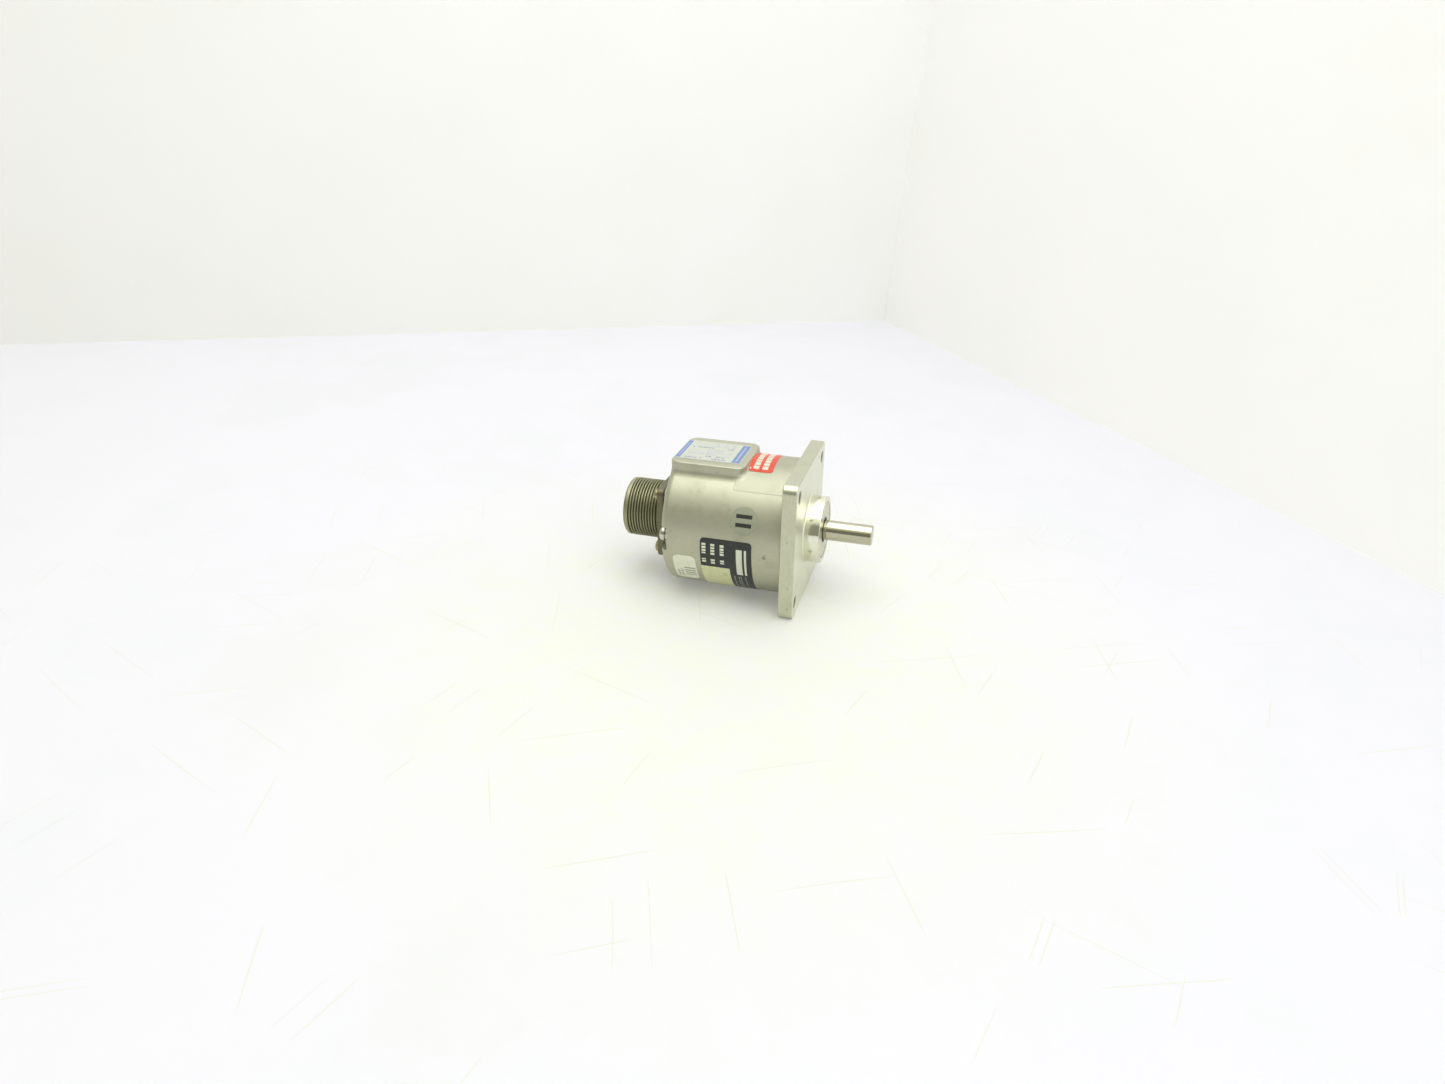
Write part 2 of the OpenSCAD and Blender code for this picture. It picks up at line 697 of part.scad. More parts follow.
module mask_plate() color("lightsteelblue", 0.6)
    translate([mask_rear_x, -mask_w / 2, track_r - mask_h / 2]) cube([mask_t, mask_w, mask_h]);

sensor_t = 0.8;

module mask_holder() color("dimgray") difference() {
    translate([board1_x, -mask_w / 2 - 1, track_r - mask_h / 2 - 0.5])
        cube([mask_rear_x - board1_x, mask_w + 2, mask_h + 1]);
    translate([mask_rear_x - sensor_t - 0.2, -mask_w / 2 + 1, track_r - mask_h / 2 + 0.8])
        cube([sensor_t + 1, mask_w - 2, mask_h - 1.6]);
}

module sensor_array() color("darkslategray")
    translate([mask_rear_x - sensor_t - 0.2, -mask_w / 2 + 1.5, track_r - mask_h / 2 + 1.2])
        cube([sensor_t, mask_w - 3, mask_h - 2.4]);

// ---- Boards, posts and wires ----

module board(x) difference() {
    bar(x, x + board_t, board_d / 2);
    for (a = mount_angles) at_angle(a, mount_r) bar(x - 1, x + board_t + 1, screw_r + 0.1);
}

module sensor_board() color("seagreen") board(board1_rear_x);
module driver_board() color("seagreen") board(board2_rear_x);

// Chip on the rear of the board whose rear face is at x
module chip(x, y, z, w, h) translate([x - chip_h / 2, y, z]) cube([chip_h, w, h], center = true);

module board_chips() color("black") {
    edge_at = board_d / 2 - edge_part_inset;
    for (side = [-1, 1]) {
        chip(board1_rear_x, side * chip_step, chip_step / 2, small_chip_w, small_chip_len);
        chip(board2_rear_x, side * (edge_at - small_chip_w / 2), -chip_step, small_chip_w, small_chip_len);
    }
    chip(board1_rear_x, 0, -chip_step, large_chip_len, large_chip_w);
    chip(board2_rear_x, 0, edge_at, large_chip_len, large_chip_w);
}

module board_capacitors() color("royalblue") for (a = [-50, 50, 155])
    at_angle(a, board_d / 2 - edge_part_inset)
        bar(board2_rear_x - capacitor_h, board2_rear_x, capacitor_d / 2);

// Hexagonal post from x0 (rear) to x1, with a stud in front and a tapped hole behind
module post(x0, x1) difference() {
    union() {
        along_x() translate([0, 0, x0]) cylinder(h = x1 - x0, d = post_af / cos(30), $fn = 6);
        bar(x1 - eps, x1 + stud_len, screw_r);
    }
    bar(x0 - 1, x0 + min(post_hole_depth, x1 - x0 - 0.4), screw_r + fit_gap);
}

module posts(x0, x1) for (a = mount_angles) at_angle(a, mount_r) post(x0, x1);

module lower_posts() color("lightgray") posts(board1_x, spigot_x);
module middle_posts() color("lightgray") posts(board2_x, board1_rear_x);
module upper_posts() color("lightgray") posts(post_end_x, board2_rear_x);

// Outer contacts, then the two inner ones: [angle, radius]
contacts = concat(
    [for (i = [0:pin_count - 1]) [360 / pin_count * (i + 0.5), pin_circle_r]],
    [[90, inner_pin_r], [-90, inner_pin_r]]);

module harness_wires() color("ivory") for (c = contacts) rotate([-c[0], 0, 0])
    translate([0, 0, c[1]]) wire_run();

// One wire: straight off the board, out of line by two quarter bends, and straight into its cup
module wire_run() {
    start_x = board2_rear_x - 0.8;
    end_x = start_x - 2 * wire_bend_r;
    translate([0, 0, 2 * wire_bend_r]) bar(start_x - eps, board2_rear_x, wire_r);
    translate([start_x, 0, wire_bend_r]) rotate([90, 0, 0]) rotate([0, 0, 90])
        rotate_extrude(angle = 90) translate([wire_bend_r, 0]) circle(r = wire_r, $fn = 32);
    translate([end_x, 0, wire_bend_r]) rotate([90, 0, 0]) rotate([0, 0, -90])
        rotate_extrude(angle = 90) translate([wire_bend_r, 0]) circle(r = wire_r, $fn = 32);
    bar(cup_end_x, end_x + eps, wire_r);
}

// ---- Receptacle ----

thread_turns = floor((shell_len - thread_relief - 1) / thread_pitch);

// Outline of the threaded stretch from the mouth to the relief: [radius, x], one groove a turn
function thread_points() = [for (i = [0:thread_turns - 1], p = [
    [thread_r, 0.06], [thread_root_r, 0.44], [thread_root_r, 0.56], [thread_r, 0.94]])
    [p[0], mouth_x + 1 + thread_pitch * (i + p[1])]];

module connector_shell() color("darkolivegreen") difference() {
    union() {
        turned(concat(
            [[0, mouth_x], [thread_root_r, mouth_x], [thread_r, mouth_x + thread_depth]],
            thread_points(),
            [[thread_r, mouth_x + 1 + thread_pitch * thread_turns + 0.1],
             [thread_root_r, mouth_x + 1 + thread_pitch * thread_turns + 0.5],
             [thread_root_r, conn_face_x + eps], [0, conn_face_x + eps]]));
        along_x() translate([0, 0, conn_face_x]) linear_extrude(height = conn_flange_t)
            rounded_square(conn_flange_w, conn_flange_w, conn_corner_r);
        bar(conn_x - eps, cavity_x, shell_rear_r);
    }
    bar(mouth_x - 1, cavity_x + 1, shell_bore_r);
    translate([mouth_x - 1, -keyway_w / 2, 0])
        cube([insert_depth + 1, keyway_w, shell_bore_r + keyway_depth]);
    on_square(conn_spacing) bar(conn_face_x - 1, conn_x + 1, conn_screw_d / 2 + 0.15);
}

module connector_insert() color("darkslategray") difference() {
    bar(insert_x, insert_rear_x, shell_bore_r - fit_gap);
    for (c = contacts) at_angle(c[0], c[1]) bar(insert_x - 1, insert_rear_x + 1, pin_d / 2 + fit_gap);
}

module connector_pins() color("goldenrod") for (c = contacts) at_angle(c[0], c[1]) {
    round_nosed_bar(mouth_x + pin_recess, insert_rear_x + eps, pin_d / 2);
    bar(insert_rear_x, cup_end_x, cup_r);
}

module connector_gasket() color("dimgray") difference() {
    along_x() translate([0, 0, conn_x]) linear_extrude(height = gasket_t)
        rounded_square(conn_flange_w, conn_flange_w, conn_corner_r);
    bar(conn_x - 1, boss_x + 1, shell_rear_r + free_gap);
    on_square(conn_spacing) bar(conn_x - 1, boss_x + 1, conn_screw_d / 2 + 0.15);
}

module connector_screws() color("darkgray") on_square(conn_spacing) {
    pan_head(conn_face_x, conn_head_d, conn_head_h);
    bar(conn_face_x - eps, boss_x + 4, conn_screw_d / 2);
}

// ---- Labels ----

// Thin band of the cover's round side from x0 to x1, over an arc about an angle
module band(x0, x1, r, t, at_deg, arc_deg) rotate([-at_deg, 0, 0]) along_x()
    rotate([0, 0, 90 - arc_deg / 2]) rotate_extrude(angle = arc_deg)
        translate([r, x0]) square([t, x1 - x0]);

// Label on the cover's round side, centred at [x, angle], with round corners
module wrapped_label(at, length, arc_deg, corner_r) intersection() {
    width = 2 * label_r * sin(arc_deg / 2);
    band(at[0] - length, at[0] + length, label_r, label_t, at[1], arc_deg + 6);
    rotate([-at[1], 0, 0]) translate([at[0], 0, body_r / 2])
        linear_extrude(height = body_r) rounded_square(length, width, corner_r);
}

module rating_label() color("aliceblue")
    translate([cover_x + pad_len / 2 + rating_shift, 0, pad_top + fit_gap])
        linear_extrude(height = label_t) rounded_square(rating_len, rating_w, label_corner_r);

module red_label() color("orangered")
    wrapped_label([pad_front_x + 0.1 + red_len / 2, 0], red_len, 2 * red_half_arc, label_corner_r);

// Clear tape over the red label, from the flange to the pad and a little way along its sides
module clear_film() color("white", 0.3) difference() {
    band(pad_front_x - film_overlap, -flange_t - 0.3, film_r, film_t, 0, 2 * film_half_arc);
    translate([cover_x, -pad_w / 2 - 0.1, 0]) cube([pad_len + 0.1, pad_w + 0.2, body_d]);
}

module round_sticker() color("darkkhaki") intersection() {
    band(round_at[0] - round_d, round_at[0] + round_d, label_r, label_t, round_at[1], 40);
    rotate([-round_at[1], 0, 0]) translate([round_at[0], 0, body_r / 2]) cylinder(h = body_r, d = round_d);
}

module black_label() color("black")
    wrapped_label(black_at, black_len, black_arc, label_corner_r);

module white_sticker() color("white")
    wrapped_label(white_at, white_len, white_arc, label_corner_r);

housing();
cover();
cover_o_ring();
cover_screws();
cover_lock_washers();
cover_flat_washers();
seal_carrier();
shaft_seal();
shaft();
shaft_snap_ring();
bearing_spacer();
front_outer_race();
front_inner_race();
front_balls();
front_cage();
front_shields();
rear_outer_race();
rear_inner_race();
rear_balls();
rear_cage();
rear_shields();
preload_washer();
bore_retaining_ring();
disc_hub();
hub_set_screws();
code_disc();
disc_clamp();
disc_clamp_screws();
light_source_bracket();
light_source();
lamp_leads();
mask_plate();
mask_holder();
sensor_array();
sensor_board();
driver_board();
board_chips();
board_capacitors();
lower_posts();
middle_posts();
upper_posts();
harness_wires();
connector_shell();
connector_insert();
connector_pins();
connector_gasket();
connector_screws();
rating_label();
red_label();
clear_film();
black_label();
round_sticker();
white_sticker();
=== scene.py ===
# %% [markdown]
# # A shaft encoder, dressed on its CAD frame
# A rotary encoder turns the angle of a shaft into electrical pulses. The solids come from the CAD
# pack, and this lesson gives them their looks. Everything is in metres, in the CAD's own frame:
# the shaft's axis is the X axis, its free end points along +X, and the label pad is on top (+Z).

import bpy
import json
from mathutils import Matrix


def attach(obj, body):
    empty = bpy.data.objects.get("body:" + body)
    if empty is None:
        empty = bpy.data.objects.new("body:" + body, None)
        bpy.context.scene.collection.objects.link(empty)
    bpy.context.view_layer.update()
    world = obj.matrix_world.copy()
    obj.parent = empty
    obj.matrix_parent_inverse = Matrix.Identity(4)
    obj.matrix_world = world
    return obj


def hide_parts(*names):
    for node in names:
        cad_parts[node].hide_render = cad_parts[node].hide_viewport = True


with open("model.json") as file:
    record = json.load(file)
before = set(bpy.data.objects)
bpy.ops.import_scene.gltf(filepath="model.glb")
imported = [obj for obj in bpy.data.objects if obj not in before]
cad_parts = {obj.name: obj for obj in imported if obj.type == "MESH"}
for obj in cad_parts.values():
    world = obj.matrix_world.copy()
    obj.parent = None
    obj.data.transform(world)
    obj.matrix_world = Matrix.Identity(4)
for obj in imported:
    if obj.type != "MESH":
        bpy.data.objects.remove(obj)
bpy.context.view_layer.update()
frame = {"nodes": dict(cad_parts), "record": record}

# %% [markdown]
# ## Helpers
# Sizes are in millimetres, as on a drawing, and MM turns them to metres. Colours are sRGB hex
# values. Wear and stains are colours laid over a finish through a mask.

# %% Units, colours and nodes
import json
import math
import random

import bmesh
import bpy
from mathutils import Matrix, Vector

MM = 0.001
FULL_TURN = 2 * math.pi
SCENE = bpy.context.scene


def linear(code):
    """The linear RGBA of an sRGB hex colour such as '8fa3b0'."""
    parts = [int(code[i:i + 2], 16) / 255 for i in (0, 2, 4)]
    return [c / 12.92 if c <= 0.04045 else ((c + 0.055) / 1.055) ** 2.4 for c in parts] + [1.0]


def add(tree, kind, settings=(), links=()):
    """Adds a shader node of a kind, which may name its operation too. A setting names an attribute
    or an input. 'stops' fills a colour ramp, and 'range' a map range's from and to. A link comes
    from a socket, or from another node's first output."""
    kind, _, operation = kind.partition(" ")
    node = tree.nodes.new("ShaderNode" + kind)
    if operation:
        node.operation = operation
    for key, value in dict(settings).items():
        if key == "stops":
            for stop, (place, colour) in zip(node.color_ramp.elements, value):
                stop.position, stop.color = place, colour
        elif key == "range":
            for i, end in enumerate(value, 1):
                node.inputs[i].default_value = end
        elif isinstance(key, str) and hasattr(node, key):
            setattr(node, key, value)
        else:
            node.inputs[key].default_value = value
    for key, source in dict(links).items():
        if isinstance(source, bpy.types.Node):
            source = source.outputs[0]
        tree.links.new(source, node.inputs[key])
    return node


def new_material(name):
    """A material, its node tree and its shader."""
    material = bpy.data.materials.new(name)
    material.use_nodes = True
    tree = material.node_tree
    return material, tree, tree.nodes["Principled BSDF"]


def lay_over(tree, code, mask):
    """Lays a colour over the finish, as far as the mask says. A Mix node's two colours are its
    inputs 6 and 7, and its output 2 is their mix."""
    base = tree.nodes["Principled BSDF"].inputs["Base Color"]
    under = base.links[0].from_socket
    mixed = add(tree, "Mix", {"data_type": "RGBA", 7: linear(code)}, {0: mask, 6: under})
    tree.links.new(mixed.outputs[2], base)


def new_object(name, data):
    """An object, in the scene."""
    made = bpy.data.objects.new(name, data)
    SCENE.collection.objects.link(made)
    return made


def mesh_of(name, bm):
    """A mesh of a shape. The shape is used up."""
    mesh = bpy.data.meshes.new(name)
    bm.to_mesh(mesh)
    bm.free()
    return mesh


print("mid grey in linear light:", [round(c, 3) for c in linear("808080")])

# %% [markdown]
# ## Camera
# The camera stands in front of the encoder, to its left and above it, with a wide lens. Its three
# axes are written out, because they were worked out from the object's own edges.

# %% Camera
CAMERA_AT = Vector((69.4, -396.5, 187.8)) * MM
CAMERA_RIGHT = Vector((0.96108668, 0.27606291, 0.0100832))
CAMERA_DOWN = Vector((0.13004841, -0.41994497, -0.89818352))
CAMERA_FORWARD = Vector((-0.24372077, 0.86454352, -0.43950506))
SENSOR, FOCAL_LENGTH = 36, 23.27
camera = new_object("camera", bpy.data.cameras.new("camera"))
axes = Matrix((CAMERA_RIGHT, -CAMERA_DOWN, -CAMERA_FORWARD)).transposed()
camera.matrix_world = Matrix.Translation(CAMERA_AT) @ axes.to_4x4()
camera.data.sensor_width, camera.data.lens = SENSOR, FOCAL_LENGTH
camera.data.clip_start, camera.data.clip_end = 0.01, 20
SCENE.camera = camera
print("camera is", round(CAMERA_AT.length / MM), "mm from the mounting face")

# %% [markdown]
# ## Floor, panels and light
# The encoder stands on a white table with two white panels behind it. The table is a little
# brighter to the camera and to reflections than to the light that it throws back, so that it looks
# white while the object's shadow stays on it. Where things are set down, it is a little duller, and
# it has a few long scratches. Each family of scratches lies one way: cells are stretched to strokes,
# most are left out, and the rest are bent a little.

# %% A white surface and its wear
FLOOR_Z = -33.01
TABLE_WORN_AT = Vector((-30, -50, FLOOR_Z)) * MM
LIT_BEST_AT = Vector((200, -300, FLOOR_Z)) * MM             # where the table needs least lift
STROKES = ((0.45, 75), (1.3, 40), (1.95, 60), (2.8, 95))    # each family's turn, and its length
STROKE_W, STROKES_LEFT_OUT = 0.8, 0.99


def wear(tree, at, clouds, worn, scratch):
    """Dulls a surface round the place where things are set down on it, and scratches it."""
    away = add(tree, "VectorMath DISTANCE", {1: TABLE_WORN_AT}, {0: at}).outputs["Value"]
    ragged = add(tree, "Math MULTIPLY_ADD", {1: 0.10}, {0: clouds, 2: away})
    near = add(tree, "MapRange", {"range": (0.12, 0.27, 1, 0)}, {0: ragged})
    handled = add(tree, "TexNoise", {"Scale": 75, "Detail": 5, "Roughness": 0.65}, {0: at})
    patchy = add(tree, "MapRange", {"range": (0.36, 0.60, 1, 0.55)}, {0: handled})
    lay_over(tree, worn, add(tree, "Math MULTIPLY", {}, {0: near, 1: patchy}))
    used = add(tree, "MapRange", {"range": (0.15, 0.50, 0.6, 0)}, {0: away})
    bends = add(tree, "TexNoise", {"Scale": 4, "Detail": 1}, {0: at}).outputs["Color"]
    path = add(tree, "VectorMath MULTIPLY_ADD", {1: (0.05, 0.05, 0)}, {0: bends, 2: at})
    for turn, length in STROKES:
        lain = add(tree, "Mapping", {"vector_type": "TEXTURE", "Rotation": (0, 0, turn),
                                     "Scale": (length * MM, STROKE_W * MM, 1)}, {0: path})
        cells = add(tree, "TexVoronoi", {"voronoi_dimensions": "2D", "Scale": 1}, {"Vector": lain}).outputs
        thin = add(tree, "Math LESS_THAN", {1: 0.27}, {0: cells["Distance"]})
        chance = add(tree, "SeparateColor", {}, {0: cells["Color"]})
        few = add(tree, "Math GREATER_THAN", {1: STROKES_LEFT_OUT}, {0: chance})
        drawn = add(tree, "Math MULTIPLY", {}, {0: thin, 1: few})
        lay_over(tree, scratch, add(tree, "Math MULTIPLY", {}, {0: drawn, 1: used}))


def white_surface(name, code, lift, speck, growth=0.0, worn=None):
    """A white sheet: diffuse, lifted for camera, gloss and glass rays, with faint clouds. The lift
    grows with each metre from the lamps. worn is its colour where it is worn, and its scratches'."""
    material, tree, shader = new_material(name)
    shader.inputs["Roughness"].default_value = 0.6
    at = add(tree, "TexCoord").outputs["Object"]
    clouds = add(tree, "TexNoise", {"Scale": 9, "Detail": 7, "Roughness": 0.68}, {0: at})
    tint = add(tree, "ValToRGB", {"stops": [(0.30, linear(speck)), (0.52, linear(code))]}, {0: clouds})
    tree.links.new(tint.outputs[0], shader.inputs["Base Color"])
    if worn:
        wear(tree, at, clouds, *worn)
    ray = add(tree, "LightPath").outputs
    seen = ray["Is Camera Ray"]
    for kind in ("Is Glossy Ray", "Is Transmission Ray"):
        seen = add(tree, "Math MAXIMUM", {}, {0: seen, 1: ray[kind]})
    far = add(tree, "VectorMath DISTANCE", {1: LIT_BEST_AT}, {0: at}).outputs["Value"]
    raised = add(tree, "Math MULTIPLY_ADD", {1: growth, 2: lift}, {0: far})
    strength = add(tree, "Math MULTIPLY", {}, {0: seen, 1: raised})
    tint = shader.inputs["Base Color"].links[0].from_socket
    glow = add(tree, "Emission", {}, {"Color": tint, "Strength": strength})
    both = add(tree, "AddShader", {}, {0: shader, 1: glow})
    tree.links.new(both.outputs[0], tree.nodes["Material Output"].inputs["Surface"])
    return material


print(len(STROKES), "families of scratches on the table")

# %% Table and panels
TABLE_REACH = 3000
CORNER_AT = (-36.4, 600.1)      # where the two panels meet on the table
REAR_PANEL_TO = (-2500, -573.3)
RIGHT_PANEL_TO = (1500, -1740.0)
PANEL_H = 1500
PANEL_LEAN = (88, 25)           # how far their top edges lean away


def sheet_of(name, corners, material):
    """A flat four-sided sheet of the stage."""
    bm = bmesh.new()
    bmesh.ops.contextual_create(bm, geom=[bm.verts.new(Vector(c) * MM) for c in corners])
    made = new_object(name, mesh_of(name, bm))
    made.data.materials.append(material)


table = [(x * TABLE_REACH, y * TABLE_REACH, FLOOR_Z) for x, y in ((-1, -1), (1, -1), (1, 1), (-1, 1))]
sheet_of("table", table, white_surface("white_table_laminate", "cecdd4", 0.22, "cbcbd0", growth=0.225,
                                       worn=("cecfc7", "c0c3ae")))
for name, far_end, lift in (("rear_panel", REAR_PANEL_TO, 0.31), ("right_panel", RIGHT_PANEL_TO, 0.38)):
    foot = [(*CORNER_AT, FLOOR_Z), (*far_end, FLOOR_Z)]
    head = [(x + PANEL_LEAN[0], y + PANEL_LEAN[1], PANEL_H) for x, y, z in reversed(foot)]
    sheet_of(name, foot + head, white_surface("white_" + name, "e8e7e6", lift, "e5e5e2"))
print("stage is ready")

# %% [markdown]
# A large soft box hangs overhead, a little to the right, and a weaker one stands on the right. The
# room round them is a plain grey up to about 35 degrees and light above that, and that grey is what
# bright metal shows as the darker band between the lamp and the table.

# %% Lamps and room
ROOM_LOW, ROOM_HIGH = 0.33, 1.15
OVERHEAD_W = 8.3
SIDE_W = 3.2
LAMPS_LOOK_AT = Vector((-20, 0, 0)) * MM


def soft_box(name, at, size, watts):
    """A square area lamp at a place in mm that faces the encoder."""
    lamp = bpy.data.lights.new(name, "AREA")
    lamp.shape, lamp.size, lamp.energy = "SQUARE", size * MM, watts
    lamp.color = linear("f8fafe")[:3]
    box = new_object(name, lamp)
    box.location = Vector(at) * MM
    box.rotation_euler = (LAMPS_LOOK_AT - box.location).to_track_quat("-Z", "Y").to_euler()


soft_box("overhead_box", (100, -70, 950), 1100, OVERHEAD_W)
soft_box("right_box", (720, -380, 340), 600, SIDE_W)
world = bpy.data.worlds.new("room")
SCENE.world = world
world.use_nodes = True
sky = world.node_tree
way = add(sky, "SeparateXYZ", {}, {0: add(sky, "TexCoord").outputs["Generated"]}).outputs
level = add(sky, "MapRange", {"interpolation_type": "SMOOTHSTEP", "range": (0.5, 0.78, ROOM_LOW, ROOM_HIGH)},
            {0: way["Z"]})
background = sky.nodes["Background"].inputs
background["Color"].default_value = linear("f2f3dc")
sky.links.new(level.outputs[0], background["Strength"])
SCENE.view_settings.view_transform = "Standard"
print("lamps:", OVERHEAD_W, "W overhead and", SIDE_W, "W from the right")

# %% [markdown]
# ## Finishes
# Each finish is named for the real material and how its surface was made. All of them share one
# recipe: a fine grain of a real size, which drives colour, roughness and bump, over a slow
# mottling, which is the unevenness that handling and age leave. Grain that would be too fine to
# see at this distance is drawn a little coarser than it is.

# %% The shared recipe
def finish(name, colours, metallic, roughness, grain, bump=0.0, mottle_mm=9.0, stretch=(1, 1, 1)):
    """A finish with grain of that size in mm. Its colours are the grain's light and dark, and the
    mottling's if it has any. Roughness is (smooth, rough), and bump is the grain's height in mm."""
    material, tree, shader = new_material(name)
    light, dark, *mottle = colours.split()
    shader.inputs["Metallic"].default_value = metallic
    at = add(tree, "TexCoord").outputs["Object"]
    drawn = add(tree, "Mapping", {"Scale": stretch}, {0: at})
    fine = add(tree, "TexNoise", {"Scale": 1 / (grain * MM), "Detail": 3, "Roughness": 0.6}, {0: drawn})
    paint = add(tree, "ValToRGB", {"stops": [(0.3, linear(dark)), (0.7, linear(light))]}, {0: fine})
    tree.links.new(paint.outputs[0], shader.inputs["Base Color"])
    for code in mottle:
        slow = add(tree, "TexNoise", {"Scale": 1 / (mottle_mm * MM), "Detail": 5, "Roughness": 0.55}, {0: at})
        lay_over(tree, code, add(tree, "MapRange", {"range": (0.52, 0.78, 0, 0.75)}, {0: slow}))
    rough = add(tree, "MapRange", {"range": (0, 1, *roughness)}, {0: fine})
    tree.links.new(rough.outputs[0], shader.inputs["Roughness"])
    if bump:
        relief = add(tree, "Bump", {"Distance": bump * MM, "Strength": 1.0}, {"Height": fine})
        tree.links.new(relief.outputs[0], shader.inputs["Normal"])
    return material


# %% [markdown]
# Metals keep the default IOR, and their colour is the tint of their reflection. The cover is a
# bead-blasted casting, so its grain is even in every direction. The flange was milled and the
# pilot turned, so theirs is drawn out along the tool's path.

# %% Metals
METALS = {
    "cast_aluminium": ("bead_blasted_aluminium", "bfbfab b4b4a0 a5a28a", 0.75, (0.38, 0.50), 0.5, 0.006, 11),
    "machined_aluminium":
        ("milled_aluminium", "cdceb9 c1c2ac b4b49b", 0.95, (0.28, 0.40), 0.35, 0.003, 14, (1, 1, 0.12)),
    "turned_aluminium":
        ("fine_turned_aluminium", "ecedde e1e2d0 dadac4", 1, (0.06, 0.10), 0.25, 0.006, 9, (1, 0.06, 0.06)),
    "faced_aluminium": ("face_milled_aluminium", "e7e8d6 dddecb d4d4bf", 0.95, (0.38, 0.50), 0.35, 0.002, 12),
    # The stake dents' dark colour is painted shade in the recesses.
    "grimy_dents": ("grime_in_the_stake_marks", "4d4334 3a3226", 0.2, (0.5, 0.6), 0.4),
    "polished_steel": ("ground_steel", "c4c1ac b6b29d c4beaa", 1, (0.07, 0.13), 0.12, 0.0006, 6, (0.6, 1, 1)),
    "bright_steel": ("zinc_plated_steel", "d2d2c6 c2c2b6 b3ad9a", 1, (0.20, 0.30), 0.3, 0.001, 2.5),
    "spring_steel": ("blued_spring_steel", "5d6066 484a50", 1, (0.26, 0.36), 0.3),
    "hub_brass": ("turned_brass", "d2b36a bd9c52", 1, (0.2, 0.3), 0.25, 0, 9, (6, 1, 1)),
    "gold": ("gold_plated_brass", "e3bd62 cfa548", 1, (0.16, 0.26), 0.2),
    "olive_plating": ("olive_cadmium_plating", "807f62 605f45 7d7657", 0.75, (0.30, 0.46), 0.5, 0.004, 5),
    # A darker copy of the olive plating, for the receptacle's plate: painted shade.
    "olive_plate": ("dull_olive_cadmium_plating", "7e7d63 636248 6b6349", 0.7, (0.34, 0.5), 0.5, 0.004, 4),
    "bronzed_steel": ("bronzed_steel", "bba98d a08e74", 1, (0.24, 0.36), 0.4, 0.002),
}
FINISH = {slot: finish(*recipe) for slot, recipe in METALS.items()}
print(len(FINISH), "metals")

# %% [markdown]
# The rest: moulded plastics and rubber, glass, circuit boards and labels. Their roughness is higher
# and they reflect without a tint. The tape is all but clear, and its cut edge less so. The inks are
# for what is printed on the labels.

# %% Plastics, rubber, glass, labels and inks
OTHERS = {
    "seal_rubber": ("nitrile_rubber", "2b2a28 201f1e", 0, (0.5, 0.62), 0.3, 0.004),
    "cage_plastic": ("moulded_nylon", "c9b98c b9a877", 0, (0.4, 0.5), 0.6),
    "black_plastic": ("moulded_black_plastic", "26262a 1c1c1f", 0, (0.36, 0.48), 0.25, 0.003),
    "lens_plastic": ("clear_epoxy", "e6efe9 d8e4dc", 0, (0.08, 0.14), 0.8),
    "capacitor": ("capacitor_sleeve", "2f4f8f 27437c", 0, (0.28, 0.38), 0.5),
    "wire_jacket": ("extruded_wire_insulation", "e6e1d0 d8d2be", 0, (0.38, 0.48), 0.6),
    "insert": ("moulded_insert_rubber", "3b4038 2e332c", 0, (0.48, 0.6), 0.4, 0.004),
    "gasket": ("cut_cork_rubber", "4a473f 34322c", 0, (0.6, 0.75), 0.35, 0.01),
    "board": ("solder_masked_board", "2f6b45 24573a", 0, (0.24, 0.36), 1.2, 0, 9, (1, 0.2, 1)),
    "disc_glass": ("chromed_disc_glass", "b9c7cc a9b9be", 0, (0.04, 0.08), 2.0),
    "coded_glass": ("coded_disc_glass", "b9c7cc a9b9be", 0, (0.04, 0.08), 2.0),
    "label_white": ("printed_polyester", "c9cbc0 c1c3b7 bec0b8", 0, (0.32, 0.42), 0.8, 0, 7),
    "label_red": ("red_vinyl", "e63c17 dc3412 e04a26", 0, (0.30, 0.4), 0.7, 0, 5),
    "label_black": ("black_vinyl", "2c2f30 232627 3a3c38", 0, (0.34, 0.46), 0.6, 0, 4),
    "label_worn": ("worn_white_vinyl", "fbfdec f2f4dd d9dcc0", 0, (0.34, 0.44), 0.6, 0, 3),
    "label_foil": ("clear_backed_sticker", "a5a994 9a9e88 92957d", 0.15, (0.3, 0.4), 0.6, 0, 4),
    "clear_tape": ("clear_polyester_film", "a4a697 9a9c8d", 0, (0.12, 0.2), 1.5),
    "tape_edge": ("cut_tape_edge", "e9ead8 dddecb", 0, (0.2, 0.3), 0.5),
    "pale_ink": ("pale_print", "e9ebda dcdfca", 0, (0.34, 0.44), 0.5),
    "cream_ink": ("blank_write_on_field", "e9ebbf dfe1b1 c6c79a", 0, (0.4, 0.5), 0.9, 0, 3),
    "blue_ink": ("blue_print", "6f88bd 6079b2", 0, (0.32, 0.42), 0.7),
    "dark_ink": ("black_print", "34352f 2a2b26", 0, (0.34, 0.44), 0.5),
    "grey_ink": ("worn_grey_print", "a7a99b 97998c", 0, (0.34, 0.46), 0.4),
    "navy_ink": ("navy_print", "55649a 49588e", 0, (0.34, 0.44), 0.5),
    "faint_ink": ("faint_blue_print", "a4b0c6 95a3bd", 0, (0.34, 0.44), 0.5),
}
FINISH.update({slot: finish(*recipe) for slot, recipe in OTHERS.items()})
for slot, socket, value in (("clear_tape", "Alpha", 0.055), ("tape_edge", "Alpha", 0.35),
                            ("disc_glass", "Transmission Weight", 0.6)):
    FINISH[slot].node_tree.nodes["Principled BSDF"].inputs[socket].default_value = value
print(len(OTHERS), "other finishes")

# %% [markdown]
# The disc carries a ring of fine chromed lines, one beside the other all the way round. The real
# ones are finer than an eye can part, so they are drawn coarser. The receptacle's plating is rubbed
# light on the crests of the thread, which are the farthest from the axis.

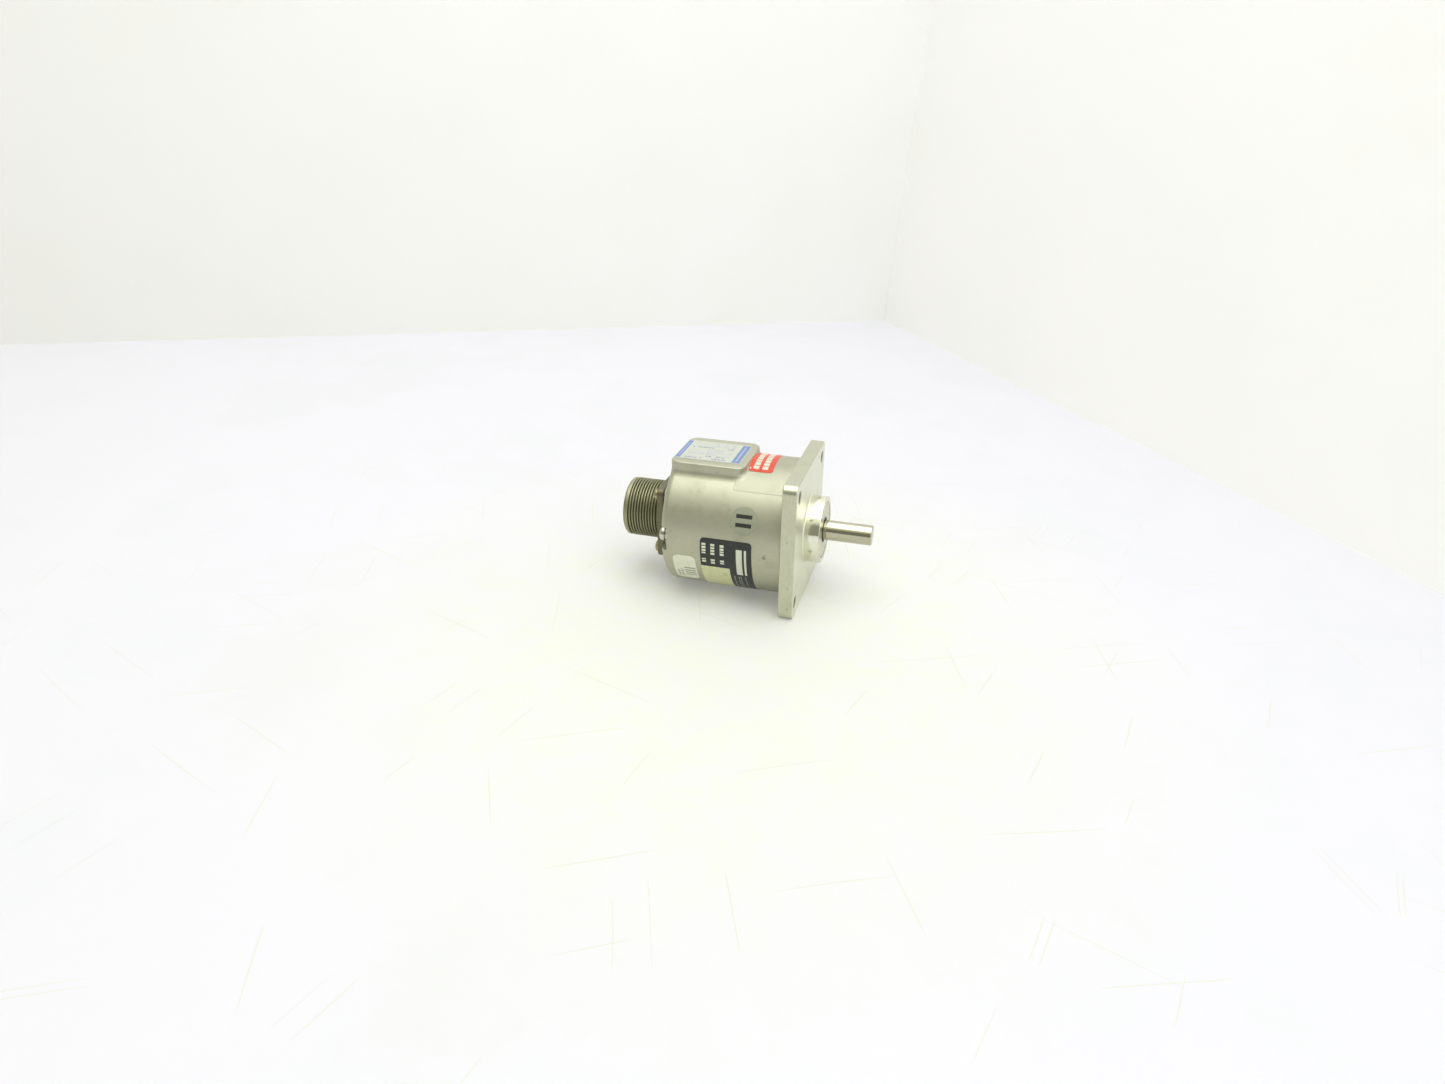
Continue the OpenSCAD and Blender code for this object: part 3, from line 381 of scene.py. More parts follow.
# %% Chromed lines and rubbed crests
DISC_LINES, TRACK_R, TRACK_HALF = 180, 18.5, 1.3
RUBBED_FROM, RUBBED_TO = 13.75, 14.2


def marking(slot):
    """A finish's node tree, and the place of a point on it."""
    tree = FINISH[slot].node_tree
    return tree, add(tree, "TexCoord").outputs["Object"]


def from_axis(tree, at):
    """A point's distance from the shaft's axis."""
    across = add(tree, "VectorMath MULTIPLY", {1: (0, 1, 1)}, {0: at})
    return add(tree, "VectorMath LENGTH", {}, {0: across}).outputs["Value"]


tree, at = marking("coded_glass")
place = add(tree, "SeparateXYZ", {}, {0: at}).outputs
turn = add(tree, "Math ARCTAN2", {}, {0: place["Y"], 1: place["Z"]})
lines = add(tree, "Math MULTIPLY", {1: DISC_LINES / FULL_TURN}, {0: turn})
ink = add(tree, "Math GREATER_THAN", {1: 0.5}, {0: add(tree, "Math FRACT", {}, {0: lines})})
track = add(tree, "Math COMPARE", {1: TRACK_R * MM, 2: TRACK_HALF * MM}, {0: from_axis(tree, at)})
chromed = add(tree, "Math MULTIPLY", {}, {0: ink, 1: track})
lay_over(tree, "3a3c3e", chromed)
tree.links.new(chromed.outputs[0], tree.nodes["Principled BSDF"].inputs["Metallic"])
tree, at = marking("olive_plating")
rubbed = add(tree, "MapRange", {"range": (RUBBED_FROM * MM, RUBBED_TO * MM, 0, 0.6)},
             {0: from_axis(tree, at)})
lay_over(tree, "b7b596", rubbed)
print(DISC_LINES, "lines on the disc")

# %% [markdown]
# Handling has left a few marks: a dark scuff near the flange, brown stains on the casting, smudges
# on the flange's edge, and an uneven yellowing of the pilot's front rim. The two smudges at the
# flange's bottom edge, by the table, are partly a brownish smudge and partly painted contact shadow.

# %% Stains
CAN_R = 32.3
RAGGED_MM = 2.2
YELLOW_FROM, YELLOW_TO, YELLOW_PATCH = 7.38, 7.5, 5


def stain(slot, colour, *spots):
    """Ragged marks on a finish. A spot is (x, y, z, radius, strength), in mm."""
    tree, at = marking(slot)
    ragged = add(tree, "TexNoise", {"Scale": 1 / (RAGGED_MM * MM), "Detail": 6, "Roughness": 0.7}, {0: at})
    for *centre, radius, strength in spots:
        away = add(tree, "VectorMath DISTANCE", {1: Vector(centre) * MM}, {0: at}).outputs["Value"]
        edge = add(tree, "Math MULTIPLY_ADD", {1: 2.4 * radius * MM, 2: -0.7 * radius * MM}, {0: ragged})
        inside = add(tree, "Math SUBTRACT", {}, {0: edge, 1: away})
        mask = add(tree, "MapRange", {"range": (0, 0.6 * radius * MM, 0, strength)}, {0: inside})
        lay_over(tree, colour, mask)


def on_can(x, degrees, radius, strength):
    """A spot at an angle round the can."""
    turn = math.radians(degrees)
    return (x, CAN_R * math.sin(turn), CAN_R * math.cos(turn), radius, strength)


stain("cast_aluminium", "6a6b60", on_can(-13.9, -94.6, 2.6, 0.75), on_can(-16.4, -97.5, 1.6, 0.45),
      on_can(-13.0, -98.0, 1.4, 0.4), on_can(-58.0, -82.0, 1.6, 0.4))
stain("cast_aluminium", "97835f", on_can(-34.0, -55.0, 1.6, 0.5), on_can(-31.5, -58.5, 1.3, 0.5),
      on_can(-28.0, -61.0, 1.0, 0.4), (-40.5, -17.4, 29.6, 1.1, 0.7), (-37.0, -16.6, 32.6, 0.8, 0.7),
      (-55.0, -17.4, 31.0, 0.9, 0.4), on_can(-47.0, -47.0, 2.4, 0.35), on_can(-60.0, -38.0, 3.0, 0.3))
# The flange's last two spots, at its bottom edge by the table, are partly painted contact shadow.
stain("machined_aluminium", "7d7b67", (-2.6, -33, -16.0, 1.3, 0.5), (-3.9, -33, -21.5, 1.0, 0.45),
      (-2.2, -33, -27.0, 1.6, 0.5), (-3.4, -33, 7.0, 1.2, 0.4), (-5.0, -30.5, -31.8, 2.4, 0.55),
      (-1.6, -28.0, -32.8, 2.0, 0.5))
stain("turned_aluminium", "8d7448", (7.6, -9.0, -11.8, 2.2, 0.6), (7.6, 6.0, 13.0, 2.0, 0.5))
tree, at = marking("turned_aluminium")
front = add(tree, "MapRange", {"range": (YELLOW_FROM * MM, YELLOW_TO * MM, 0, 0.8)},
            {0: add(tree, "SeparateXYZ", {}, {0: at})})
uneven = add(tree, "TexNoise", {"Scale": 1 / (YELLOW_PATCH * MM), "Detail": 4}, {0: at})
patch = add(tree, "MapRange", {"range": (0.35, 0.6, 0.15, 1)}, {0: uneven})
lay_over(tree, "a8936a", add(tree, "Math MULTIPLY", {}, {0: front, 1: patch}))

# Every CAD node gets the finish of its slot, and the disc the coded one.
for row in frame["record"]["subparts"]:
    slots = frame["nodes"][row["node"]].data.materials
    slots.clear()
    slots.append(FINISH["coded_glass" if row["node"] == "code_disc" else row["material_slot"]])
print(len(FINISH), "finishes, on every CAD node")

# %% [markdown]
# ## Shaping helpers
# Nearly every part here is turned on a lathe, so most shapes start as an outline of (x, radius)
# that is spun about the X axis. What a mill or a drill takes away is carved with a cutter of the
# tool's own shape. Doubles are merged first and the faces are then turned outwards.

# %% Turned bodies
AROUND = 96


def outwards(bm):
    """Merges doubles, then turns the faces outwards."""
    bmesh.ops.remove_doubles(bm, verts=bm.verts, dist=1e-6)
    bmesh.ops.recalc_face_normals(bm, faces=bm.faces)
    return bm


def turned(outline, around=AROUND, closed=True):
    """Spins (x, radius) points, in mm, about X. An open outline leaves its ends open."""
    bm = bmesh.new()
    line = [bm.verts.new((x * MM, 0, r * MM)) for x, r in outline]
    edges = [bm.edges.new(ends) for ends in zip(line, line[1:])]
    if closed and not (outline[0][1] == 0 and outline[-1][1] == 0):
        edges.append(bm.edges.new((line[-1], line[0])))
    bmesh.ops.spin(bm, geom=line + edges, cent=(0, 0, 0), axis=(1, 0, 0), angle=FULL_TURN,
                   steps=around, use_merge=True)
    return outwards(bm)


def rod(x0, x1, radius, around=AROUND):
    """A plain cylinder."""
    return turned([(x0, 0), (x0, radius), (x1, radius), (x1, 0)], around)


def arc_points(x, r, radius, start, end, steps=6):
    """Points of an arc about (x, r). 0 degrees points outwards and 90 degrees along +X."""
    turns = [math.radians(start + (end - start) * i / steps) for i in range(steps + 1)]
    return [(x + radius * math.sin(a), r + radius * math.cos(a)) for a in turns]


print("spun outlines have", AROUND, "steps a turn")

# %% [markdown]
# Places are matrices: a plain move, or a turn round the axis and out to a radius. A shape can be
# repeated at many places, and several shapes can be kept together as one.

# %% Places and copies
def moved(x=0.0, y=0.0, z=0.0):
    """A move, in mm."""
    return Matrix.Translation((x * MM, y * MM, z * MM))


def turned_by(angle):
    """A turn about the X axis."""
    return Matrix.Rotation(angle, 4, "X")


def at_angle(degrees, radius):
    """Moves what is drawn on the axis out to a radius. 0 degrees is up, and 90 towards +Y."""
    return turned_by(-math.radians(degrees)) @ moved(z=radius)


def square_corners(reach):
    """The (y, z) of a square's four corners."""
    return [(y, z) for y in (-reach, reach) for z in (-reach, reach)]


def joined(*parts):
    """Several shapes as one. Their faces keep their material numbers."""
    whole = bmesh.new()
    for part in parts:
        mesh = mesh_of("part", part)
        whole.from_mesh(mesh)
        bpy.data.meshes.remove(mesh)
    return whole


def repeated(bm, places):
    """Copies of a shape, one for each place."""
    copies = []
    for place in places:
        copies.append(bm.copy())
        copies[-1].transform(place)
    bm.free()
    return joined(*copies)


print("a square has", len(square_corners(1)), "corners")

# %% [markdown]
# A cutter works as on a machine: its shape is taken out of the piece. The exact solver keeps every
# edge where the cutter left it. A joining tool works the other way round.

# %% Carving, sheets and plates
def carve(bm, tool, operation="DIFFERENCE"):
    """The shape after one cut, or one union, with the tool."""
    work, cutter = [new_object(name, mesh_of(name, shape)) for name, shape in (("work", bm), ("tool", tool))]
    cut = work.modifiers.new("cut", "BOOLEAN")
    cut.operation, cut.solver, cut.object = operation, "EXACT", cutter
    evaluated = work.evaluated_get(bpy.context.evaluated_depsgraph_get())
    result = bpy.data.meshes.new_from_object(evaluated)
    made = bmesh.new()
    made.from_mesh(result)
    bpy.data.meshes.remove(result)
    for used in (work, cutter):
        mesh = used.data
        bpy.data.objects.remove(used)
        bpy.data.meshes.remove(mesh)
    bmesh.ops.remove_doubles(made, verts=made.verts, dist=1e-7)
    return made


def block(place, sides):
    """A box of three sides, in mm."""
    bm = bmesh.new()
    bmesh.ops.create_cube(bm, size=1, matrix=place @ Matrix.Diagonal((*[side * MM for side in sides], 1)))
    return bm


def sheet(bm, place, sides, corner=0.0, steps=8):
    """Adds a flat rectangle, with round corners if a radius is given. Gives the points of its outline."""
    points = bmesh.ops.create_grid(bm, x_segments=1, y_segments=1, size=0.5, matrix=place
                                   @ Matrix.Diagonal((sides[0] * MM, sides[1] * MM, 1, 1)))["verts"]
    if corner:
        points = bmesh.ops.bevel(bm, geom=points, offset=corner * MM, segments=steps, profile=0.5,
                                 affect="VERTICES", material=-1)["verts"]
    return points


def rounded_loop(bm, x, side, corner):
    """A square loop with round corners, facing X. Gives its edges."""
    points = sheet(bm, moved(x) @ Matrix.Rotation(math.pi / 2, 4, "Y"), (side, side), corner)
    loop = {e for v in points for e in v.link_edges}
    inside = {f for e in loop for f in e.link_faces}
    bmesh.ops.delete(bm, geom=list(inside), context="FACES_ONLY")
    return list(loop)


def plate(profile, side, corner, closed=True):
    """A square plate with round corners. profile is a list of (x, how far its edge is drawn in)."""
    bm = bmesh.new()
    loops = [rounded_loop(bm, x, side - 2 * inset, max(corner - inset, 0.2)) for x, inset in profile]
    for near, far in zip(loops, loops[1:]):
        bmesh.ops.bridge_loops(bm, edges=near + far)
    for end in (loops[0], loops[-1]) if closed else ():
        bmesh.ops.contextual_create(bm, geom=end)
    return outwards(bm)


print("cutters and plates are ready")

# %% [markdown]
# A finished piece gets smooth shading, with real corners kept sharp. The weighted normals keep the
# big flat faces flat right up to their softened edges, as on a machined part.

# %% Finishing a piece
def number_faces(bm, rule):
    """Numbers each face's material by a rule on the x and the radius of its middle, in mm."""
    for face in bm.faces:
        middle = face.calc_center_median() / MM
        face.material_index = rule(middle.x, math.hypot(middle.y, middle.z))


def piece(name, bm, body, slot, *nodes, sharp=32, finishes=None):
    """Makes the object, gives it its body, hides the CAD nodes that it stands for, and gives it the
    finishes that its faces' numbers name, or else its slot's."""
    mesh = mesh_of(name, bm)
    for face in mesh.polygons:
        face.use_smooth = True
    mesh.set_sharp_from_angle(angle=math.radians(sharp))
    for key in (finishes or slot).split():
        mesh.materials.append(FINISH[key])
    made = new_object(name, mesh)
    weighted = made.modifiers.new("even shading", "WEIGHTED_NORMAL")
    weighted.keep_sharp = True
    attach(made, body)
    if nodes:
        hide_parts(*nodes)
    mesh.calc_loop_triangles()
    print(f"{name}: {len(mesh.loop_triangles)} triangles")


print("the piece function is ready")

# %% [markdown]
# ## The cover
# A die-cast aluminium can. It was made in one pour with the label pad on top and the boss for the
# receptacle at the back, so soft fillets run round both. Three notches in its rear rim let the
# mounting screws in.

# %% Cover: the can
COVER_X, EDGE_R, AROUND_CAN = -63.5, 3.4, 144
SOCKET_R = 14.1         # the opening for the receptacle
MOUNTS, MOUNT_R = (-90, 90, 180), 26
NOTCH_R, NOTCH_X = 5.7, -60.2
at_mounts = [at_angle(a, MOUNT_R) for a in MOUNTS]
can = turned([(-60.5, SOCKET_R), (-60.5, 30), (-6.6, 30), (-6.6, 32.05), (-6.85, CAN_R)]
             + [(x, CAN_R) for x in (-15, -25, -35, -45, -53)]
             + arc_points(COVER_X + EDGE_R, CAN_R - EDGE_R, EDGE_R, 0, -90, 10)
             + [(COVER_X, 24), (COVER_X, 18), (COVER_X, SOCKET_R)], around=AROUND_CAN)
bosses = repeated(turned([(-61.5, 0), (-61.5, 6.9), (-57.7, 6.9), (-57.5, 6.7), (-57.5, 0)], 48), at_mounts)
can = carve(can, carve(bosses, rod(-63, -56, 31.2, AROUND_CAN), "INTERSECT"), "UNION")
pocket = turned([(-66, 0), (-66, 7.6), (-63.9, 6.15), (-63.5, 5.85), (-63.15, NOTCH_R),
                 (NOTCH_X - 0.5, NOTCH_R), (NOTCH_X - 0.15, 5.55), (NOTCH_X, 5.2), (NOTCH_X, 0)], 64)
way_out = block(moved(-63.1, 0, 8), (5.8, 2 * NOTCH_R, 16))
bmesh.ops.bevel(way_out, geom=[e for e in way_out.edges if all(v.co.x > -61 * MM for v in e.verts)],
                offset=0.5 * MM, segments=3, profile=0.5, affect="EDGES", material=-1)
can = carve(can, repeated(carve(pocket, way_out, "UNION"), at_mounts))
can = carve(can, repeated(rod(-62, -56, 1.9, 32), at_mounts))
print("can:", len(can.faces), "faces, with", len(MOUNTS), "screw notches")

# %% [markdown]
# The pad is a flat-topped block that melts into the round can. Each ring of it is the pad's outline
# moved outwards and down, so the first rings round the top edge, the wall follows, and the last
# ones flare into the can as the fillet.

# %% Cover: the pad
PAD_LEN, PAD_W, PAD_TOP, PAD_CORNER = 35.5, 34.6, 32.8, 5.0
PAD_FOOT, INNER_R = 20, 31      # how deep its skirt goes, and how far out the can is hollowed again


def can_height(x, y):
    """How high the can's skin is over a point of the plan, in mm."""
    over = max(COVER_X + EDGE_R - x, 0)
    radius = CAN_R - EDGE_R + math.sqrt(max(EDGE_R ** 2 - over ** 2, 0))
    return math.sqrt(max(radius ** 2 - y ** 2, 0))


def outward(x, y):
    """The outline's outward direction at a point of it."""
    core = Vector((min(max(x, COVER_X + PAD_CORNER), COVER_X + PAD_LEN - PAD_CORNER),
                   min(max(y, PAD_CORNER - PAD_W / 2), PAD_W / 2 - PAD_CORNER)))
    return (Vector((x, y)) - core).normalized()


def pad_point(x, y, stage, share):
    """Where the outline's point goes. Stage 0 rounds the top edge, stage 1 is the fillet at the foot."""
    tall = PAD_TOP - can_height(x, y)
    top_round, foot_round = min(0.8, 0.45 * tall), min(2.0, 0.55 * tall)
    turn = share * math.pi / 2
    out = top_round * (math.sin(turn) - 1) if stage == 0 else foot_round * (1 - math.cos(turn))
    at = Vector((x, y)) + outward(x, y) * out
    at.x = max(at.x, COVER_X + 0.02)
    if stage == 0:
        z = PAD_TOP - top_round * (1 - math.cos(turn))
    else:
        z = can_height(at.x, at.y) + foot_round * (1 - math.sin(turn)) - 0.03 * share
    return Vector((at.x, at.y, z)) * MM


def drawn_out(bm, edges):
    """Extrudes a loop of edges. Gives the new loop and its points."""
    grown = bmesh.ops.extrude_edge_only(bm, edges=edges)["geom"]
    loop = [e for e in grown if isinstance(e, bmesh.types.BMEdge)]
    return loop, {v for e in loop for v in e.verts}


pad = bmesh.new()
sheet(pad, moved(COVER_X + PAD_LEN / 2, 0, PAD_TOP), (PAD_LEN, PAD_W), PAD_CORNER, 10)
straight = [e for e in pad.edges if e.calc_length() > 10 * MM]
bmesh.ops.subdivide_edges(pad, edges=straight, cuts=23)
px, py = pad.verts.layers.float.new("px"), pad.verts.layers.float.new("py")
for v in pad.verts:
    v[px], v[py] = v.co.x / MM, v.co.y / MM
    v.co = pad_point(v[px], v[py], 0, 0)
top_loop = loop = list(pad.edges)
bmesh.ops.delete(pad, geom=pad.faces[:], context="FACES_ONLY")
rings = [(0, i / 4) for i in range(1, 5)] + [(1, i / 6) for i in range(7)]
for stage, share in rings:
    loop, points = drawn_out(pad, loop)
    for v in points:
        v.co = pad_point(v[px], v[py], stage, share)
bmesh.ops.contextual_create(pad, geom=top_loop)
loop, points = drawn_out(pad, loop)
for v in points:
    v.co.z = PAD_FOOT * MM
bmesh.ops.contextual_create(pad, geom=loop)
pad = carve(outwards(pad), rod(-61, 0, INNER_R, AROUND_CAN))
print("pad:", len(pad.faces), "faces in", len(rings) + 1, "rings")

# %% [markdown]
# The boss behind is a square plinth for the receptacle, with the same cast softness at its foot.

# %% Cover: the boss, and the whole casting
BOSS_X, BOSS_SIDE, BOSS_CORNER = -65.9, 36.5, 4
BOLT_AT = square_corners(13.485)
at_bolts = [moved(0, y, z) for y, z in BOLT_AT]
boss = plate([(-63.2, -0.75), (COVER_X, -0.7), (COVER_X - 0.12, -0.4), (COVER_X - 0.35, -0.14),
              (COVER_X - 0.7, 0), (BOSS_X + 0.4, 0), (BOSS_X + 0.12, 0.12), (BOSS_X, 0.4)],
             BOSS_SIDE, BOSS_CORNER)
boss = carve(boss, rod(-70, -60, SOCKET_R))
tap = turned([(-70, 0), (-70, 1.75), (BOSS_X, 1.75), (BOSS_X + 0.3, 1.45), (-61.5, 1.45), (-61.5, 0)], 24)
boss = carve(boss, repeated(tap, at_bolts))
piece("cover_casting", joined(can, pad, boss), "casing", "cast_aluminium", "cover")

# %% [markdown]
# ## The flange and its bearing barrel
# One block of aluminium: the flange was milled square with its corners rounded, and the pilot that
# centres the encoder on a machine was turned with a fine cut. The plate's edges are lightly broken,
# so each catches a thin line of light.

# %% Housing: the turned body and the plate
FLANGE_SIDE, FLANGE_T, FLANGE_CORNER = 66.0, 6.6, 4
PILOT_R, ROOT_FILLET, TIP_ROUND = 15.875, 0.8, 0.3
FLANGE_BORE = 20                # where the plate's faces and the turned body meet
flange = plate([(0, 0.4), (-0.08, 0.16), (-0.24, 0.04), (-0.45, 0), (-6.15, 0), (-6.36, 0.04), (-6.52, 0.16),
                (-FLANGE_T, 0.4)], FLANGE_SIDE, FLANGE_CORNER, closed=False)
barrel = [(6.62, 13.5), (6.62, 11.13), (-4.5, 11.13), (-4.5, 9.57), (-16.56, 9.57), (-16.56, 11.13),
          (-24.9, 11.13), (-24.9, 11.83), (-25.82, 11.83), (-25.82, 11.13), (-27.0, 11.13), (-27.2, 11.4),
          (-27.2, 14.3), (-27.0, 14.53), (-11.6, 14.53), (-11.6, 29.6), (-11.2, 29.98), (-9.9, 29.98),
          (-9.9, 28.64), (-8.3, 28.64), (-8.3, 29.98), (-FLANGE_T, 29.98), (-FLANGE_T, FLANGE_BORE)]
core = turned([(0, FLANGE_BORE), (0, PILOT_R + ROOT_FILLET)]
              + arc_points(ROOT_FILLET, PILOT_R + ROOT_FILLET, ROOT_FILLET, -90, -180, 6)[1:]
              + [(3.5, PILOT_R), (7.1, PILOT_R)] + arc_points(7.32, PILOT_R - TIP_ROUND, TIP_ROUND, 0, 90, 4)
              + [(7.62, 13.72), (7.5, 13.5)] + barrel, closed=False)
flange = joined(flange, core)
for x in (0, -FLANGE_T):
    rims = [e for e in flange.edges if e.is_boundary and all(abs(v.co.x - x * MM) < 1e-6 for v in e.verts)]
    bmesh.ops.triangle_fill(flange, edges=rims, use_beauty=True, normal=(1, 0, 0))
outwards(flange)
print("housing before drilling: open edges", sum(not e.is_manifold for e in flange.edges))

# %% [markdown]
# Four clearance holes go through the flange, and the cover's screws bite into three tapped holes
# behind it. The pilot and the front face then get the finishes of the tools that cut them.

# %% Housing: the holes and the finishes
HOLE_R, HOLE_AT = 2.83, 52.37 / 2
drill = turned([(2, 0), (2, 3.3), (0.02, 3.3), (-0.35, HOLE_R), (-6.35, HOLE_R), (-6.65, 3.1), (-9, 3.1),
                (-9, 0)], 48)
flange = carve(flange, repeated(drill, [moved(0, y, z) for y, z in square_corners(HOLE_AT)]))
tap = turned([(-12.6, 0), (-12.6, 2.0), (-11.6, 2.0), (-11.3, 1.77), (-7.1, 1.77), (-7.1, 0)], 24)
flange = carve(flange, repeated(tap, at_mounts))
number_faces(flange, lambda x, out: 1 if x > 0.75 and out > 12 else 2 if x > -0.01 and out > 15.5 else 0)
piece("machined_flange", flange, "casing", "machined_aluminium", "housing",
      finishes="machined_aluminium turned_aluminium faced_aluminium")

# %% [markdown]
# ## Seal carrier and seal
# A thin turned disc closes the front of the bearing bore. It was locked in by pressing small stakes
# into the rim, which left a ring of dents, and the dents are painted dark as painted shade. The
# rubber lip inside touches the shaft.

# %% Carrier and seal
STAKES, STAKES_R, FIRST_STAKE = 24, 12.95, 4
carrier = turned([(2.94, 9.87), (2.94, 11.09), (6.62, 11.09), (6.62, 13.2), (6.72, 13.46), (6.95, 13.46),
                  (7.42, 13.12), (7.42, 6.15), (7.3, 6.0), (6.62, 6.0), (6.62, 9.87)])
stake = turned([(7.16, 0), (7.16, 0.12), (7.3, 0.34), (7.5, 0.46), (7.9, 0.46), (7.9, 0)], 16)
places = [at_angle(360 / STAKES * i + FIRST_STAKE, STAKES_R) for i in range(STAKES)]
carrier = carve(carrier, repeated(stake, places))
# The dents' faces take the dark finish, which is painted shade.
number_faces(carrier, lambda x, out: 1 if 7.1 < x < 7.41 and out < 13.2 else 0)
piece("staked_carrier", carrier, "casing", "machined_aluminium", "seal_carrier",
      finishes="machined_aluminium grimy_dents")
lip = turned([(4.26, 4.62), (4.26, 9.8), (6.6, 9.8), (6.6, 5.98), (6.98, 5.98), (7.08, 5.86), (7.1, 5.6),
              (7.18, 5.3), (7.22, 5.0), (7.16, 4.86), (7.1, 4.66), (6.9, 4.6125), (6.7, 4.72), (6.2, 5.0),
              (5.4, 5.0), (5.0, 4.62)])
piece("seal_lip", lip, "casing", "seal_rubber", "shaft_seal")

# %% [markdown]
# ## The shaft
# Ground steel, with a small chamfer turned at the tip and the centre drilling left in its end face
# from when it was held between centres.

# %% Shaft
SHAFT_R = 4.7625
JOURNAL_R = SHAFT_R - 0.2       # under the seal
shaft = turned([(30, 0), (30, 0.4), (30.25, 1.15), (30.25, 4.2), (30.23, 4.28), (29.8, 4.71),
                (29.7, SHAFT_R), (8.08, SHAFT_R), (8.02, 4.62), (8, JOURNAL_R), (3.86, JOURNAL_R),
                (3.86, 4.2625), (2.94, 4.2625), (2.94, SHAFT_R), (-23.6, SHAFT_R), (-24, 5.3), (-24, 6.3),
                (-24.2, 6.5), (-26.3, 6.5), (-26.5, 6.3), (-26.5, 3.5), (-34.8, 3.5), (-35.1, 3.2),
                (-35.1, 0)])
piece("ground_shaft", shaft, "rotor", "polished_steel", "shaft")

# %% [markdown]
# ## The receptacle
# A threaded shell in olive plating. Its thread is a real helix: the ridge's section is a few
# points, and the spin moves them on by one pitch for each turn. The ridge is then cut down at both
# ends: it rises out of the plain rim at the mouth, and fades out before the plate.

# %% Receptacle: the thread
PITCH, ROOT_R, CREST_R, MOUTH_X = 1.411, 13.42, 14.2875, -88.8
SUNK_R = 13.3                   # the ridge's foot lies inside the shell
RIM_TO = MOUTH_X + 2.25         # the rim at the mouth has no thread
FADES_AT = -71.5
THREAD_TURNS, THREAD_STEPS = 10.7, 72
half = [(0.18, CREST_R - 0.04), (0.3, CREST_R - 0.17), (0.58, ROOT_R), (0.64, SUNK_R)]
section = [(-x, r) for x, r in reversed(half)] + [(0, CREST_R)] + half
ridge = bmesh.new()
line = [ridge.verts.new(((MOUTH_X + 1.74 + x) * MM, 0, r * MM)) for x, r in section]
edges = [ridge.edges.new(ends) for ends in zip(line, line[1:] + line[:1])]
bmesh.ops.contextual_create(ridge, geom=edges)
steps = int(THREAD_TURNS * THREAD_STEPS)
bmesh.ops.spin(ridge, geom=line + edges, cent=(0, 0, 0), axis=(1, 0, 0), steps=steps,
               angle=steps / THREAD_STEPS * FULL_TURN, dvec=(PITCH / THREAD_STEPS * MM, 0, 0))
bmesh.ops.contextual_create(ridge, geom=[e for e in ridge.edges if e.is_boundary])
for v in ridge.verts:
    x, r = v.co.x / MM, math.hypot(v.co.y, v.co.z) / MM
    allowed = min(ROOT_R + 0.35 + (x - RIM_TO), ROOT_R + (FADES_AT - x) * 1.2)
    if r > allowed:
        v.co.yz *= max(allowed, SUNK_R - 0.05) / r
outwards(ridge)
print("thread:", THREAD_TURNS, "turns,", len(ridge.faces), "faces")

# %% [markdown]
# The shell is turned, with a key milled into its inside. The square plate behind it is a stamping,
# in a darker copy of the plating that is painted shade.

# %% Receptacle: the shell and its plate
PLATE_SIDE, PLATE_CORNER = 34.93, 3
shell = turned([(MOUTH_X, 12.7), (MOUTH_X, 13.35), (MOUTH_X + 0.3, 13.8), (MOUTH_X + 0.65, 14.08),
                (MOUTH_X + 1.0, CREST_R - 0.1), (RIM_TO - 0.15, CREST_R - 0.1), (RIM_TO + 0.1, CREST_R - 0.3),
                (RIM_TO + 0.35, ROOT_R), (-80, ROOT_R), (-71.6, ROOT_R), (-70.6, ROOT_R), (-70.2, 13.6),
                (-69.9, 14.1), (-69.5, 14.1), (-69.5, 13.8), (-60.5, 13.8), (-60.5, 12.4), (-75, 12.4),
                (-88.5, 12.4)])
shell = carve(shell, block(moved(-82, 0, 12), (14, 3.2, 1.5)))
back_plate = plate([(-69.9, 0.35), (-69.82, 0.12), (-69.6, 0), (-67.0, 0), (-66.8, 0.1), (-66.7, 0.3)],
                   PLATE_SIDE, PLATE_CORNER)
back_plate = carve(back_plate, rod(-72, -60, 13.2))
clearance = turned([(-72, 0), (-72, 1.8), (-69.9, 1.8), (-69.7, 1.57), (-65, 1.57), (-65, 0)], 24)
back_plate = carve(back_plate, repeated(clearance, at_bolts))
# All the plate's faces take the darker copy of the plating, which is painted shade.
number_faces(back_plate, lambda x, out: 1)
piece("receptacle_shell", joined(ridge, shell, back_plate), "casing", "olive_plating", "connector_shell",
      sharp=40, finishes="olive_plating olive_plate")

# %% [markdown]
# ## Screws and washers
# Pan heads with a cross recess. The recess is two tapered cutters. A split lock washer is a square
# wire wound not quite once round, with its two ends a little apart.

# %% Screws
def pan_screw(seat_x, head_r, head_h, shank_r, end_x):
    """A pan-head screw on the axis, its head towards -X."""
    top, round_r = seat_x - head_h, 0.55 * head_h
    bm = turned([(top, 0), (top, head_r * 0.4)]
                + arc_points(top + round_r, head_r - round_r, round_r, -72, 0, 6)
                + [(seat_x - 0.12, head_r), (seat_x, head_r - 0.12), (seat_x, shank_r + 0.15),
                   (seat_x + 0.15, shank_r), (end_x - 0.3, shank_r), (end_x, shank_r - 0.3), (end_x, 0)], 48)
    for turn in (0, math.pi / 2):
        wing = block(turned_by(turn) @ moved(top + 0.1 * head_h), (head_h, 1.05 * head_r, 0.26 * head_r))
        for v in wing.verts:
            if v.co.x > top * MM:
                v.co.yz *= 0.72
        bm = carve(bm, wing)
    return bm


piece("mounting_screws", repeated(pan_screw(-62.3, 3.45, 2.6, 1.75, -53.0),
                                  [place @ turned_by(0.6 + a) for a, place in zip(MOUNTS, at_mounts)]),
      "casing", "bright_steel", "cover_screws")
piece("plate_screws", repeated(pan_screw(-69.9, 2.7, 2.0, 1.42, -61.9),
                               [moved(0, y, z) @ turned_by(y * 0.1 + z) for y, z in BOLT_AT]),
      "casing", "olive_plating", "connector_screws", finishes="bronzed_steel")

